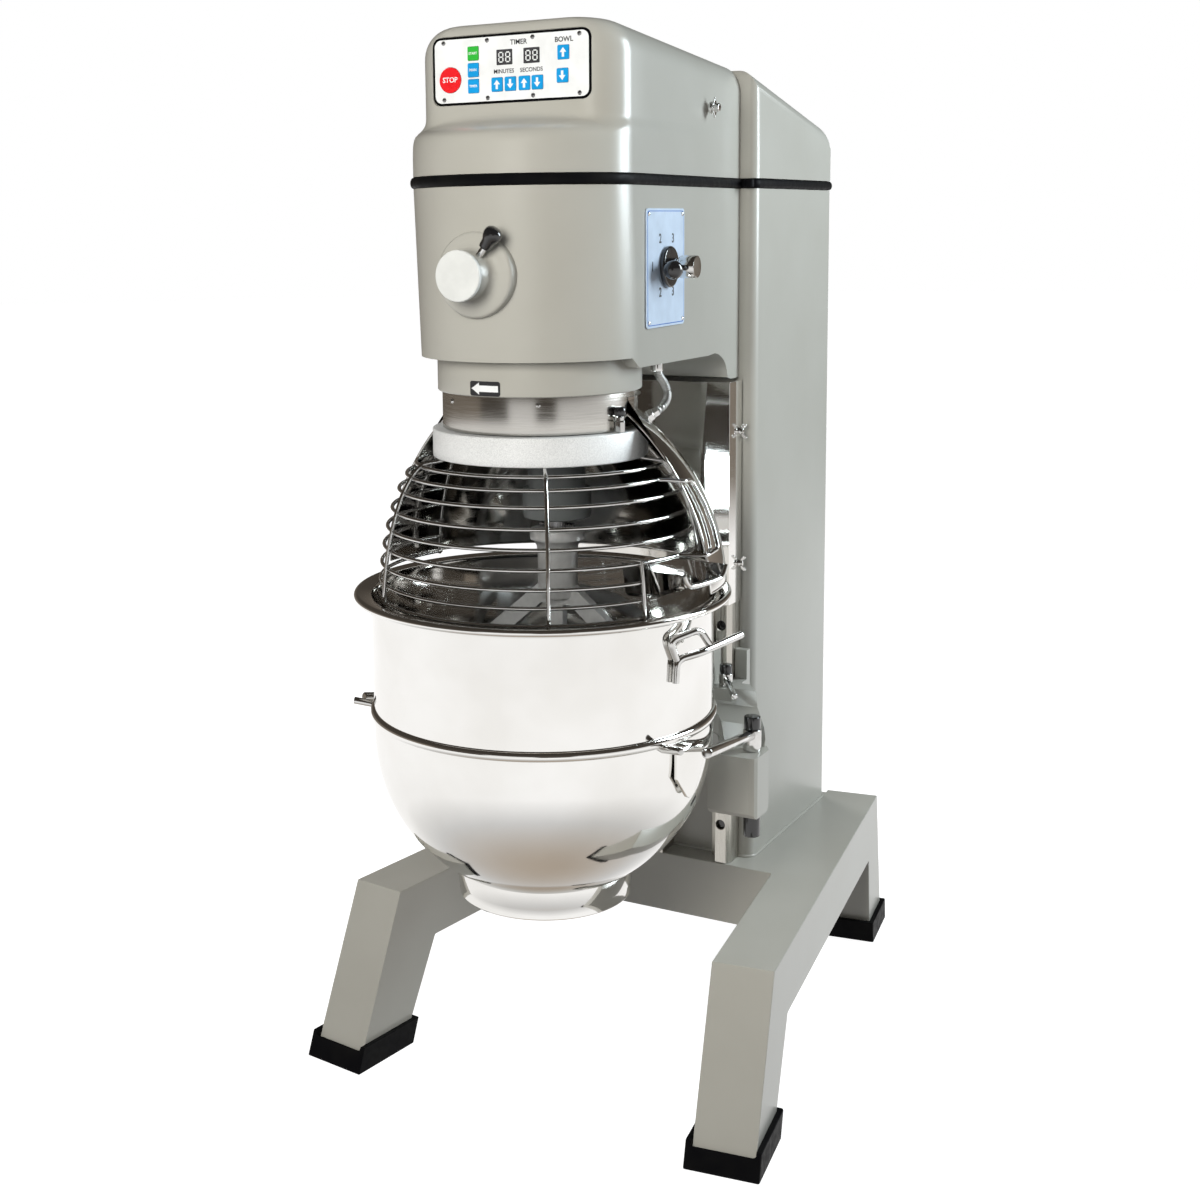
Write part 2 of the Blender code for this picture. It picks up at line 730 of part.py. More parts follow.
def make_planetary():
    """Ring gear, carrier and agitator shaft; the planet gear rolls inside the ring gear."""
    planet_radius = PLANET_OFFSET * PLANET_TEETH / (RING_TEETH - PLANET_TEETH)
    ring_radius = planet_radius + PLANET_OFFSET
    module = 2 * planet_radius / PLANET_TEETH
    depth = module * 0.75
    centre = planet_centre()
    heading = math.atan2(centre[1], centre[0])

    ring_high = COLLAR_LOW + 0.030 - GAP
    rim = cylinder("ring_gear", (0, 0, COLLAR_LOW - 0.012), (0, 0, ring_high), 0.1376, 40)
    space = gear_outline(RING_TEETH, ring_radius, depth * 1.15, depth * 0.85, 0.86, heading)
    cut(rim, prism("space", space, COLLAR_LOW - 0.03, ring_high + 0.02))
    place(rim, "gear_steel")

    top = ring_high - 0.004
    carrier = cylinder("planetary_carrier", (0, 0, CARRIER_LOW), (0, 0, CARRIER_HIGH), CARRIER_RADIUS, 40)
    boss_low, boss_high = (*centre, PLANET_BOSS_LOW), (*centre, CARRIER_LOW + 0.005)
    boss = cylinder("boss", boss_low, boss_high, PLANET_BOSS_RADIUS, 32)
    tube = cylinder("tube", (0, 0, CARRIER_HIGH - 0.005), (0, 0, 1.226), 0.022, 20)
    bore_low, bore_high = (*centre, PLANET_BOSS_LOW - 0.01), (*centre, CARRIER_HIGH + 0.01)
    bore = cylinder("bore", bore_low, bore_high, SHAFT_RADIUS + GAP, 24)
    union(carrier, boss, tube)
    cut(carrier, bore)
    wheel = prism("wheel", wheel_outline(WHEEL_TEETH, WHEEL_RADIUS), 1.222, 1.240)
    union(carrier, wheel)
    place(carrier, "motor_grey")

    shaft = cylinder("agitator_shaft", (*centre, 0.800), (*centre, top), SHAFT_RADIUS, 24)
    pinion_outline = gear_outline(PLANET_TEETH, planet_radius, depth * 0.75, depth, 0.80, heading)
    pinion = prism("pinion", moved(pinion_outline, centre), COLLAR_LOW - 0.008, top)
    union(shaft, pinion)
    place(shaft, "gear_steel", (*centre, 0))


def make_agitator():
    """The flat beater: a hub, a heart-shaped frame and its cross bars, in one casting."""
    x, y = planet_centre()
    low = 0.376
    half = 0.168
    outline = []
    for k in range(13):
        a = math.radians(-90 + 7.5 * k)
        outline.append((half * math.cos(a), 0.560 + (0.560 - low) * math.sin(a)))
    outline += [(half, 0.640), (0.150, 0.700), (0.030, 0.800)]
    outer = [(u, z) for u, z in outline] + [(-u, z) for u, z in reversed(outline[1:])]
    bar = 0.024
    inner_points = []
    for u, z in outline:
        scale = (half - bar) / half
        inner_points.append((u * scale, 0.560 + (z - 0.560) * (1 - bar / 0.19)))
    inner = inner_points + [(-u, z) for u, z in reversed(inner_points[1:])]

    def plate(name, points, thick):
        return loft(name, [[(x + u, y + v, z) for u, z in points] for v in (-thick, thick)])

    agitator = plate("agitator", outer, 0.009)
    cut(agitator, plate("opening", inner, 0.02))
    spine = box("spine", (x - 0.012, y - 0.0075, low + 0.010), (x + 0.012, y + 0.0075, 0.800))
    union(agitator, spine)
    for level in (0.450, 0.530, 0.610):
        reach = (half - 0.008) * math.sqrt(max(0.0, 1 - ((0.560 - min(level, 0.560)) / (0.560 - low)) ** 2))
        rung = box("rung", (x - reach, y - 0.006, level - 0.008), (x + reach, y + 0.006, level + 0.008))
        union(agitator, rung)
    hub = turned("hub", [(0.0, 0.785), (0.027, 0.785), (0.031, 0.800), (0.031, 0.868), (0.036, 0.872),
                         (0.036, 0.884), (0.0, 0.884)], 24, (x, y))
    union(agitator, hub)
    cut(agitator, cylinder("socket", (x, y, 0.7990), (x, y, 0.90), SHAFT_RADIUS + GAP, 24))
    place(agitator, "satin_aluminium", (x, y, 0))


# ---------------------------------------------------------------- drive train inside the head and column
def make_drive():
    pinion_radius = WHEEL_RADIUS * SPINDLE_TEETH / WHEEL_TEETH
    spindle = (0.0, WHEEL_RADIUS + pinion_radius)
    turn = math.pi / 2 + math.pi / SPINDLE_TEETH
    shaft = cylinder("input_shaft", (*spindle, 1.180), (*spindle, 1.330), 0.012, 20)
    gear = prism("gear", moved(wheel_outline(SPINDLE_TEETH, pinion_radius, turn), spindle), 1.221, 1.241)
    union(shaft, gear)

    def pulley(name, centre, radius, low):
        groove = radius - 0.009
        profile = [(0.008, low), (radius, low), (groove, low + 0.008), (groove, low + 0.014)]
        profile += [(radius, low + 0.022), (0.008, low + 0.022)]
        return turned(name, profile, 36, centre)

    union(shaft, pulley("pulley", spindle, 0.075, 1.300))
    place(shaft, "gear_steel", (*spindle, 0))
    motor_axis = (0.0, 0.560)

    body = cylinder("motor", (*motor_axis, 0.960), (*motor_axis, 1.230), 0.088, 32)
    nose = cylinder("nose", (*motor_axis, 1.225), (*motor_axis, 1.245), 0.050, 24)
    shelf = box("shelf", (-0.1705, 0.4700, 1.225), (0.1705, 0.6500, 1.235))
    union(body, nose, shelf)
    cut(body, cylinder("bore", (*motor_axis, 1.20), (*motor_axis, 1.26), 0.0130, 20))
    place(body, "motor_grey")
    rotor = cylinder("motor_pulley", (*motor_axis, 1.201), (*motor_axis, 1.330), 0.0122, 20)
    union(rotor, pulley("pulley", motor_axis, 0.045, 1.300))
    place(rotor, "gear_steel", (*motor_axis, 0))

    low = 1.3085
    high = 1.3135

    def belt_outline(extra):
        outline = []
        gap = motor_axis[1] - spindle[1]
        big = 0.075 - 0.0055 + extra
        small = 0.045 - 0.0055 + extra
        lean = math.asin((big - small) / gap)
        for k in range(13):
            a = math.pi - lean + (math.pi + 2 * lean) * k / 12
            outline.append((spindle[0] + big * math.cos(a), spindle[1] + big * math.sin(a)))
        for k in range(9):
            a = lean + (math.pi - 2 * lean) * k / 8
            outline.append((motor_axis[0] + small * math.cos(a), motor_axis[1] + small * math.sin(a)))
        return outline

    belt = prism("drive_belt", belt_outline(0.0055), low, high)
    cut(belt, prism("inside", belt_outline(0.0), low - 0.01, high + 0.01))
    place(belt, "rubber")

    wheel = cylinder("hub_shaft", (0, -0.160, HUB_Z), (0, -0.070, HUB_Z), 0.013, 20)
    bevel = cylinder("bevel", (0, -0.070, HUB_Z), (0, -0.045, HUB_Z), 0.036, 24, 0.026)
    socket = box("socket", (-0.0075, -0.20, HUB_Z - 0.0075), (0.0075, -0.125, HUB_Z + 0.0075))
    union(wheel, bevel)
    cut(wheel, socket)
    place(wheel, "gear_steel", (0, 0, HUB_Z))


# ---------------------------------------------------------------- hub, selector and control panel
def make_hub_plug():
    face = HUB_FACE
    plug = cylinder("hub_plug", (0, face, HUB_Z), (0, face + 0.0075, HUB_Z), HUB_RADIUS, 40)
    stub = cylinder("stub", (0, face + 0.005, HUB_Z), (0, face + 0.058, HUB_Z), 0.0220, 32)
    union(plug, stub)
    place(plug, "white_plastic", (0, face, HUB_Z))

    screw = cylinder("hub_thumbscrew", thumb_point(0.0235), thumb_point(0.052), 0.0050, 12)
    knob = cylinder("knob", thumb_point(0.050), thumb_point(0.074), 0.0085, 16, 0.0125)
    crown = cylinder("crown", thumb_point(0.073), thumb_point(0.080), 0.0125, 16, 0.0080)
    union(screw, knob, crown)
    place(screw, "black_plastic", thumb_point(0.0))


def wall_frame():
    """Origin and directions of the head's right wall: outwards, to the rear and up."""
    front = Vector((0.1723, -0.0335, 0.0))
    rear = Vector((NECK_HALF_WIDTH, COLUMN_FRONT, 0.0))
    back = (rear - front).normalized()
    out = Vector((back.y, -back.x, 0.0))
    return front, out, back


def wall_point(y, z, stand):
    front, out, back = wall_frame()
    point = front + back * ((y - front.y) / back.y)
    # the wall leans in by the draft towards the bottom
    lean = 0.0012 * (SEAM_LOW - z) / (SEAM_LOW - DRUM_FLOOR)
    return Vector((point.x - lean, point.y, z)) + out * stand


def wall_plate(name, y_from, y_to, z_from, z_to, low, high):
    corners = ((y_from, z_from), (y_to, z_from), (y_to, z_to), (y_from, z_to))
    return loft(name, [[wall_point(y, z, stand) for y, z in corners] for stand in (low, high)])


def make_selector():
    plate = wall_plate("gear_plate", 0.008, 0.158, 1.202, 1.374, 0.0006, 0.0024)
    inside, outside = (wall_point(SELECTOR_Y, SELECTOR_Z, stand) for stand in (-0.01, 0.01))
    cut(plate, cylinder("bore", inside, outside, 0.0095, 16))
    place(plate, "panel_white")

    pivot = wall_point(SELECTOR_Y, SELECTOR_Z, 0.0)
    boss = cylinder("speed_selector", wall_point(SELECTOR_Y, SELECTOR_Z, 0.0028),
                    wall_point(SELECTOR_Y, SELECTOR_Z, 0.0105), 0.0335, 32, 0.0315)
    spindle = cylinder("spindle", wall_point(SELECTOR_Y, SELECTOR_Z, -0.028),
                       wall_point(SELECTOR_Y, SELECTOR_Z, 0.005), 0.0085, 16)
    pointer = cylinder("pointer", wall_point(SELECTOR_Y - 0.0290, SELECTOR_Z - 0.003, 0.0160),
                       wall_point(SELECTOR_Y - 0.0400, SELECTOR_Z - 0.004, 0.0300), 0.0100, 16, 0.0130)
    tip = cylinder("tip", wall_point(SELECTOR_Y - 0.0396, SELECTOR_Z - 0.004, 0.0296),
                   wall_point(SELECTOR_Y - 0.0445, SELECTOR_Z - 0.0047, 0.0350), 0.0130, 16, 0.0060)
    arm = cylinder("arm", wall_point(SELECTOR_Y - 0.0210, SELECTOR_Z - 0.002, 0.0085),
                   wall_point(SELECTOR_Y - 0.0310, SELECTOR_Z - 0.003, 0.0180), 0.0060, 12)
    union(boss, spindle, arm, pointer, tip)
    place(boss, "black_plastic", pivot)

    knob = cylinder("selector_knob", wall_point(SELECTOR_Y, SELECTOR_Z, 0.0108),
                    wall_point(SELECTOR_Y, SELECTOR_Z, 0.030), 0.0105, 24, 0.0125)
    head = cylinder("head", wall_point(SELECTOR_Y, SELECTOR_Z, 0.026),
                    wall_point(SELECTOR_Y, SELECTOR_Z, 0.050), 0.0155, 24)
    union(knob, head)
    place(knob, "chrome", pivot)


# colour, middle across, middle height, width and height of each key
KEYS = {
    "stop_button": ("key_red", -0.0995, 1.5610, 0.0370, 0.0370),
    "start_key": ("key_green", -0.0605, 1.5965, 0.0187, 0.0200),
    "manual_key": ("key_blue", -0.0605, 1.5733, 0.0187, 0.0200),
    "timer_key": ("key_blue", -0.0605, 1.5507, 0.0187, 0.0200),
    "minutes_up_key": ("key_blue", -0.0213, 1.5510, 0.0187, 0.0200),
    "minutes_down_key": ("key_blue", 0.0005, 1.5510, 0.0187, 0.0200),
    "seconds_up_key": ("key_blue", 0.0232, 1.5510, 0.0187, 0.0200),
    "seconds_down_key": ("key_blue", 0.0442, 1.5510, 0.0187, 0.0200),
    "bowl_up_key": ("key_blue", 0.0858, 1.5897, 0.0187, 0.0200),
    "bowl_down_key": ("key_blue", 0.0843, 1.5582, 0.0187, 0.0200),
}


def make_control_panel():
    low, high = PANEL_LOW, PANEL_HIGH
    half = PANEL_HALF_WIDTH
    plate = box("control_panel", (-half, PANEL_FACE, low), (half, PANEL_FACE + 0.0015, high))
    for name, (slot, x, z, width, height) in KEYS.items():
        front = PANEL_FACE - KEY_STAND
        if name == "stop_button":
            hole = cylinder("hole", (x, front - 0.01, z), (x, front + 0.01, z), width / 2, 24)
            key = cylinder(name, (x, front, z), (x, front + 0.006, z), width / 2 - GAP, 24)
        else:
            w, h = width / 2, height / 2
            hole = box("hole", (x - w, front - 0.01, z - h), (x + w, front + 0.01, z + h))
            w -= GAP
            h -= GAP
            key = box(name, (x - w, front, z - h), (x + w, front + 0.006, z + h))
        cut(plate, hole)
        place(key, slot, (x, front, z))
    place(plate, "panel_white")


# ---------------------------------------------------------------- bowl
def bowl_radius(z, wall=0.0):
    """Outer radius of the bowl's round lower part, less a wall thickness."""
    depth = BOWL_ROUND_TOP - BOWL_FOOT_HIGH + 0.012
    t = min(1.0, max(0.0, (BOWL_ROUND_TOP - z) / (depth - wall)))
    return (BOWL_RADIUS - wall) * (1 - t**2.15) ** 0.5


def make_bowl():
    floor = BOWL_FOOT_HIGH - 0.006
    outer = [(BOWL_FOOT_RADIUS, BOWL_FOOT_LOW), (BOWL_FOOT_RADIUS + 0.002, BOWL_FOOT_HIGH)]
    z = BOWL_FOOT_HIGH + 0.004
    while z < BOWL_ROUND_TOP:
        radius = bowl_radius(z)
        if radius > outer[-1][0]:
            outer.append((radius, z))
        z += 0.014 + 0.30 * (z - BOWL_FOOT_HIGH)
    outer.append((BOWL_RADIUS, BOWL_ROUND_TOP))
    band = BOWL_BAND_RADIUS - BOWL_RADIUS
    for k in range(4):
        a = math.radians(-90 + 60 * k)
        outer.append((BOWL_RADIUS + band * math.cos(a), BOWL_BAND_Z + 0.008 * math.sin(a)))
    lip = 0.0055
    outer.append((BOWL_RADIUS, BOWL_RIM_TOP - 2 * lip))
    for k in range(5):
        a = math.radians(-90 + 45 * k)
        outer.append((BOWL_RIM_RADIUS - lip + lip * math.cos(a), BOWL_RIM_TOP - lip + lip * math.sin(a)))
    inner = [(BOWL_RADIUS - BOWL_WALL, z) for z in (BOWL_RIM_TOP - 0.004, BOWL_ROUND_TOP)]
    z = BOWL_ROUND_TOP - 0.03
    while z > floor + 0.012:
        inner.append((bowl_radius(z, BOWL_WALL), z))
        z -= 0.014 + 0.25 * (z - floor)
    inner.append((0.085, floor + 0.004))
    inner.append((0.0, floor + 0.002))
    under = [(0.0, floor - 0.002), (BOWL_FOOT_RADIUS - 0.006, floor - 0.002)]
    under.append((BOWL_FOOT_RADIUS - 0.004, BOWL_FOOT_LOW))
    bowl = turned("bowl", outer + inner + under, 36)
    for side in (1, -1):
        out = compass(1.0, math.radians(84), 0.0)
        along = Vector((-out.y, out.x, 0.0))
        lug = []
        for reach in (BOWL_RADIUS - 0.0014, BOWL_RADIUS + 0.0045):
            section = []
            for u, z in LUG_OUTLINE:
                point = out * reach + along * u
                section.append((side * point.x, point.y, z))
            lug.append(section)
        start = compass(BOWL_RADIUS - 0.0012, math.radians(70), 0.614)
        end = compass(BOWL_RADIUS + 0.0400, math.radians(69), 0.622)
        peg = cylinder("peg", (side * start.x, start.y, start.z), (side * end.x, end.y, end.z), 0.0055, 8)
        union(bowl, loft("lug", lug), peg)
    place(bowl, "polished_steel")


def make_handles():
    for side, name in ((1, "bowl_handle_right"), (-1, "bowl_handle_left")):
        wall = BOWL_RADIUS + GAP + HANDLE_WIRE + 0.0003
        foot = compass(wall, math.radians(74.2), 0.7085)
        knee = compass(wall, math.radians(74.8), 0.7420)
        reach = compass(0.2840, math.radians(80.6), 0.7493)
        end = compass(0.3080, math.radians(98.4), 0.7583)
        upper = compass(wall, math.radians(71.6), 0.7720)
        peak = compass(0.2760, math.radians(83.1), 0.7800)
        meet = compass(0.2865, math.radians(86.5), 0.7498)
        grip = rounded_path((foot, knee, reach, end), 0.012)
        rest = rounded_path((knee, upper, peak, meet), 0.010)
        main = rod(name, [(side * p.x, p.y, p.z) for p in grip], HANDLE_WIRE + 0.0006, 8)
        brace = rod("brace", [(side * p.x, p.y, p.z) for p in rest], HANDLE_WIRE, 10)
        union(main, brace)
        place(main, "chrome")


# ---------------------------------------------------------------- guard
def cage_radius(z):
    """The cage swells from the guard ring to its full radius at the bowl's rim."""
    t = min(1.0, max(0.0, (RING_LOW - z) / 0.200))
    return RING_RADIUS + (CAGE_RADIUS - RING_RADIUS) * (1 - (1 - t) ** 1.6) ** (1 / 2.2)


def arc(radius, start, end, z, step=math.radians(13)):
    count = max(2, round(abs(end - start) / step))
    return [compass(radius, start + (end - start) * k / count, z) for k in range(count + 1)]


def cage_upright(azimuth, low):
    path = [compass(RING_RADIUS - 0.008, azimuth, RING_LOW - 0.0035)]
    z = RING_LOW - 0.006
    while z > low:
        path.append(compass(cage_radius(z) + CAGE_WIRE * 1.2, azimuth, z))
        z -= 0.012 + 0.10 * (RING_LOW - z)
    path.append(compass(cage_radius(low) + CAGE_WIRE * 1.2, azimuth, low))
    return path


def make_cage():
    cage = rod("guard_cage", cage_upright(math.radians(31), 0.803), 0.0034, 5)
    for azimuth, low in ((CAGE_FROM, 0.826), (math.radians(-39), 0.806), (CAGE_TO, 0.878)):
        union(cage, rod("upright", cage_upright(azimuth, low), 0.0034, 5))
    for number, z in enumerate(CAGE_LEVELS):
        end = CAGE_TO if z > 0.87 else CHUTE_FROM
        start = CAGE_FROM + (0.002 if number else 0)
        union(cage, rod("hoop", arc(cage_radius(z), start, end, z), CAGE_WIRE, 4))
    union(cage, rod("hoop", arc(cage_radius(0.806), math.radians(-39), CHUTE_FROM, 0.806), CAGE_WIRE, 4))
    post = [compass(cage_radius(z) + CAGE_WIRE * 1.2, CHUTE_FROM, z) for z in (0.886, 0.856, 0.831, 0.803)]
    union(cage, rod("post", post, 0.0034, 5))
    hook = [compass(cage_radius(0.988), math.radians(azimuth), 0.988) for azimuth in (82, 86)]
    hook.append(compass(0.238, math.radians(89), 0.987))
    for azimuth, z in ((97, 0.984), (98, 0.950), (98, 0.915), (97, 0.886)):
        hook.append(compass(shield_radius(z) + 0.0065, math.radians(azimuth), z))
    hook.append(compass(shield_radius(0.8825) + 0.004, math.radians(88), 0.8825))
    hook.append(compass(cage_radius(0.8825), math.radians(84), 0.8825))
    union(cage, rod("hook", rounded_path(hook, 0.004, 2), CAGE_WIRE, 4))
    # short pins that weld the wires to the guard ring's underside
    for azimuth in (CAGE_FROM, math.radians(-39), math.radians(31), CAGE_TO):
        start = compass(RING_RADIUS - 0.008, azimuth, RING_LOW - GAP)
        end = compass(RING_RADIUS - 0.008, azimuth, RING_LOW - 0.008)
        union(cage, cylinder("pin", start, end, 0.0050, 8))
    place(cage, "chrome")


def make_chute():
    """A sheet trough that lets ingredients in over the bowl's rim."""
    heading = math.radians(78)
    along = compass(1.0, heading, 0.0)
    across = Vector((along.y, -along.x, 0.0))

    def spot(reach, side, z):
        return along * reach + across * side + LEVEL * z

    sheet = 0.0018
    stations = ((0.176, 0.018, 0.8210), (0.246, 0.042, 0.8330), (0.302, 0.040, 0.8560))
    walls = (0.052, 0.040, 0.018)
    sections = []
    for (reach, half, z), wall in zip(stations, walls):
        flare = half + 0.010
        outer = ((flare, z + wall), (half, z), (-half, z), (-flare, z + wall))
        flare -= sheet
        half -= sheet
        inner = ((-flare, z + wall), (-half, z + sheet), (half, z + sheet), (flare, z + wall))
        sections.append([spot(reach, across, height) for across, height in outer + inner])
    chute = loft("feed_chute", sections)
    edge = ((0.048, 0.872), (0.040, 0.8562), (0.020, 0.8545))
    edge += tuple((-side, z) for side, z in reversed(edge))
    lip = rod("lip", [spot(0.302, side, z) for side, z in edge], 0.0036, 8)
    union(chute, lip)
    place(chute, "polished_steel")


def shield_radius(z):
    t = min(1.0, max(0.0, (z - SHIELD_LOW) / SHIELD_RISE))
    return SHIELD_RADIUS * (1 - t**1.8) ** (1 / 1.8)


def shield_gland_point(distance):
    """A point on the conduit gland's axis, measured out from the shield's skin."""
    slope = math.radians(30.5)
    reach = 0.1640 + distance * math.cos(slope)
    return compass(reach, math.radians(128), 1.0638 + distance * math.sin(slope))


def make_shield():
    """The fixed half dome behind the cage."""
    outer = []
    inner = []
    steps = 8
    for k in range(steps + 1):
        z = SHIELD_LOW + (SHIELD_TOP - SHIELD_LOW) * math.sin(math.pi / 2 * k / steps)
        outer.append((shield_radius(z), z))
        inner.append((shield_radius(z) - SHIELD_WALL, z))
    rim = BAND_RADIUS + 0.0006
    top = SHIELD_TOP
    outer.append((rim + 0.004, top + 0.004))
    outer.append((rim, top + 0.004))
    inner[-1] = (rim, top - 0.001)
    profile = outer + list(reversed(inner))
    sections = []
    count = 18
    for i in range(count + 1):
        azimuth = math.radians(90 + 180 * i / count)
        sections.append([tuple(compass(r, azimuth, z)) for r, z in profile])
    shield = loft("rear_shield", sections)
    union(shield, cylinder("gland", shield_gland_point(-0.0020), shield_gland_point(0.0100), 0.0085, 12))
    place(shield, "polished_steel")


def make_guard_latch():
    """A sprung plunger on the collar band that locks the guard ring."""
    azimuth = math.radians(77)
    low = RING_HIGH + 0.0008

    def above(height):
        return compass(0.1540, azimuth, low + height)

    body = cylinder("latch_body", above(0.0), above(0.022), 0.0078, 6)
    bore = cylinder("bore", above(-0.01), above(0.04), 0.0036, 12)
    cut(body, bore)
    place(body, "chrome")
    plunger = cylinder("latch_plunger", above(0.0), above(0.026), 0.0032, 12)
    knob = cylinder("knob", above(0.0235), above(0.037), 0.0085, 16, 0.0075)
    union(plunger, knob)
    place(plunger, "black_plastic", tuple(above(0.0)))


def make_conduit():
    """Armoured cable from the neck's underside to the switch on the rear shield."""
    route = [
        (0.1400, 0.1110, 1.1520),
        (0.1400, 0.1140, 1.1280),
        (0.1400, 0.1380, 1.1120),
        (0.1410, 0.1490, 1.0960),
        (0.1440, 0.1380, 1.0860),
        shield_gland_point(0.0260),
        shield_gland_point(0.0106),
    ]
    smooth = rounded_path(route, 0.006, 2)
    hose = rod("conduit", smooth, 0.0062, 8)
    place(hose, "chrome")


# ---------------------------------------------------------------- slide, carriage and clamps
def make_rails():
    for side, name in ((1, "rail_right"), (-1, "rail_left")):
        outline = (
            (RAIL_INNER, RAIL_FRONT),
            (RAIL_OUTER - 0.006, RAIL_FRONT),
            (RAIL_OUTER, RAIL_FRONT + 0.010),
            (RAIL_OUTER, COLUMN_FRONT - GAP),
            (RAIL_INNER - 0.018, COLUMN_FRONT - GAP),
            (RAIL_INNER - 0.018, COLUMN_FRONT - 0.014),
            (RAIL_INNER, COLUMN_FRONT - 0.018),
        )
        rail = prism(name, [(side * x, y) for x, y in outline], BASE_TOP + GAP, RAIL_HIGH)
        for z in (0.335, 0.683, 1.010):
            x = side * (RAIL_INNER + RAIL_OUTER - 0.006) / 2
            hole = cylinder("hole", (x, RAIL_FRONT - 0.01, z), (x, RAIL_FRONT + 0.014, z), 0.0085, 16)
            cut(rail, hole)
        place(rail, "slide_steel")

    screw = cylinder("lift_screw", (0, SCREW_Y, BASE_TOP + 0.006), (0, SCREW_Y, 1.060), SCREW_RADIUS, 20)
    place(screw, "gear_steel", (0, SCREW_Y, 0))
    front = SCREW_Y - 0.024
    back = COLUMN_FRONT - GAP
    low = box("screw_bearings", (-0.030, front, BASE_TOP + GAP), (0.030, back, BASE_TOP + 0.030))
    high = box("high", (-0.030, front, 1.045), (0.030, back, 1.070))
    strip = box("strip", (-0.030, SCREW_Y + 0.0185, BASE_TOP + 0.005), (0.030, back, 1.060))
    union(low, high, strip)
    bore_low, bore_high = (0, SCREW_Y, BASE_TOP + 0.0045), (0, SCREW_Y, 1.0605)
    cut(low, cylinder("bore", bore_low, bore_high, SCREW_RADIUS + 0.0004, 20))
    place(low, "slide_steel")


def make_splash_panel():
    half = [(0.106, 0.346), (0.118, 0.352), (0.1560, 0.3560), (0.1560, 0.4080)]
    t = SPLASH_WALL
    inner = [(0.1060, 0.346 + t), (0.1175, 0.352 + t), (0.1560 - t, 0.3560 + t), (0.1560 - t, 0.4080)]
    outline = half + list(reversed(inner))
    outline += [(-x, y) for x, y in inner]
    outline += [(-x, y) for x, y in reversed(half)]
    panel = prism("splash_panel", outline, SPLASH_LOW, SPLASH_HIGH)
    place(panel, "polished_steel")


def mirrored(outline, side):
    return [(side * x, y) for x, y in outline]


def make_yoke():
    """The carriage that slides on the rails, with its two arms and the nut of the lift screw."""
    yoke = box("bowl_yoke", (-0.1760, 0.3200, 0.4712), (0.1760, RAIL_FRONT - 0.0010, 0.6550))
    nut = box("nut", (-0.0280, 0.3500, 0.5200), (0.0280, SCREW_Y + 0.0150, 0.6000))
    union(yoke, nut)
    back_edge = [(0.1920, 0.3660), (0.1100, 0.3640), (0.1110, 0.3300), (0.1650, 0.2900)]
    arm_outline = [
        (ARM_INNER, ARM_FRONT),
        (ARM_OUTER - 0.010, ARM_FRONT),
        (ARM_OUTER - 0.003, ARM_FRONT + 0.003),
        (ARM_OUTER, ARM_FRONT + 0.010),
        (ARM_OUTER, ARM_REAR - 0.010),
        (ARM_OUTER - 0.010, ARM_REAR + 0.008),
    ]
    arm_outline += back_edge
    arm_outline.append((ARM_INNER, 0.2450))
    web_outline = [
        (ARM_INNER + 0.001, 0.2640),
        (ARM_OUTER - 0.012, 0.2640),
        (ARM_OUTER - 0.012, ARM_REAR + 0.007),
        (0.1910, 0.3650),
        (0.1120, 0.3630),
        (0.1130, 0.3310),
        (0.1660, 0.2910),
    ]
    top = ARM_HIGH - 0.006
    slope = [(0.262, top), (0.367, top), (0.367, 0.620), (0.345, 0.620), (0.318, 0.566), (0.280, 0.548)]
    nose = [
        (ARM_FRONT - 0.02, ARM_LOW - 0.02),
        (ARM_FRONT + 0.028, ARM_LOW - 0.02),
        (ARM_FRONT - 0.02, ARM_LOW + 0.028),
    ]
    under = [
        (0.244, ARM_LOW - 0.01),
        (0.262, ARM_BACK_LOW),
        (0.400, ARM_BACK_LOW),
        (0.400, ARM_LOW - 0.01),
    ]
    for side in (1, -1):
        gib_x = sorted((side * (RAIL_OUTER + 0.0006), side * 0.1740))
        union(yoke, box("gib", (gib_x[0], RAIL_FRONT - 0.0060, 0.4724), (gib_x[1], 0.4060, 0.6400)))
        union(yoke, prism("arm", mirrored(arm_outline, side), ARM_LOW, ARM_HIGH))
        web = prism("web", mirrored(web_outline, side), ARM_HIGH - 0.012, 0.700)
        web_x = sorted((side * 0.105, side * 0.280))
        union(yoke, common(web, side_prism("slope", slope, *web_x)))
        arm_x = sorted((side * 0.105, side * 0.300))
        cut(yoke, side_prism("nose", nose, *arm_x), side_prism("under", under, *arm_x))
        x, y = side * CLAMP_AXIS[0], CLAMP_AXIS[1]
        cut(yoke, cylinder("bore", (x, y, ARM_LOW - 0.02), (x, y, ARM_HIGH + 0.02), 0.0114, 16))
    cut(yoke, cylinder("thread", (0, SCREW_Y, 0.50), (0, SCREW_Y, 0.62), SCREW_RADIUS + 0.0006, 20))
    x, y = REAR_CLAMP_AXIS
    cut(yoke, box("relief", (x - 0.0200, y - 0.0680, 0.5900), (x + 0.0720, y + 0.0520, 0.7000)))
    cut(yoke, cylinder("bore", (x, y, 0.5600), (x, y, 0.6100), 0.0062, 12))
    place(yoke, "body_paint")


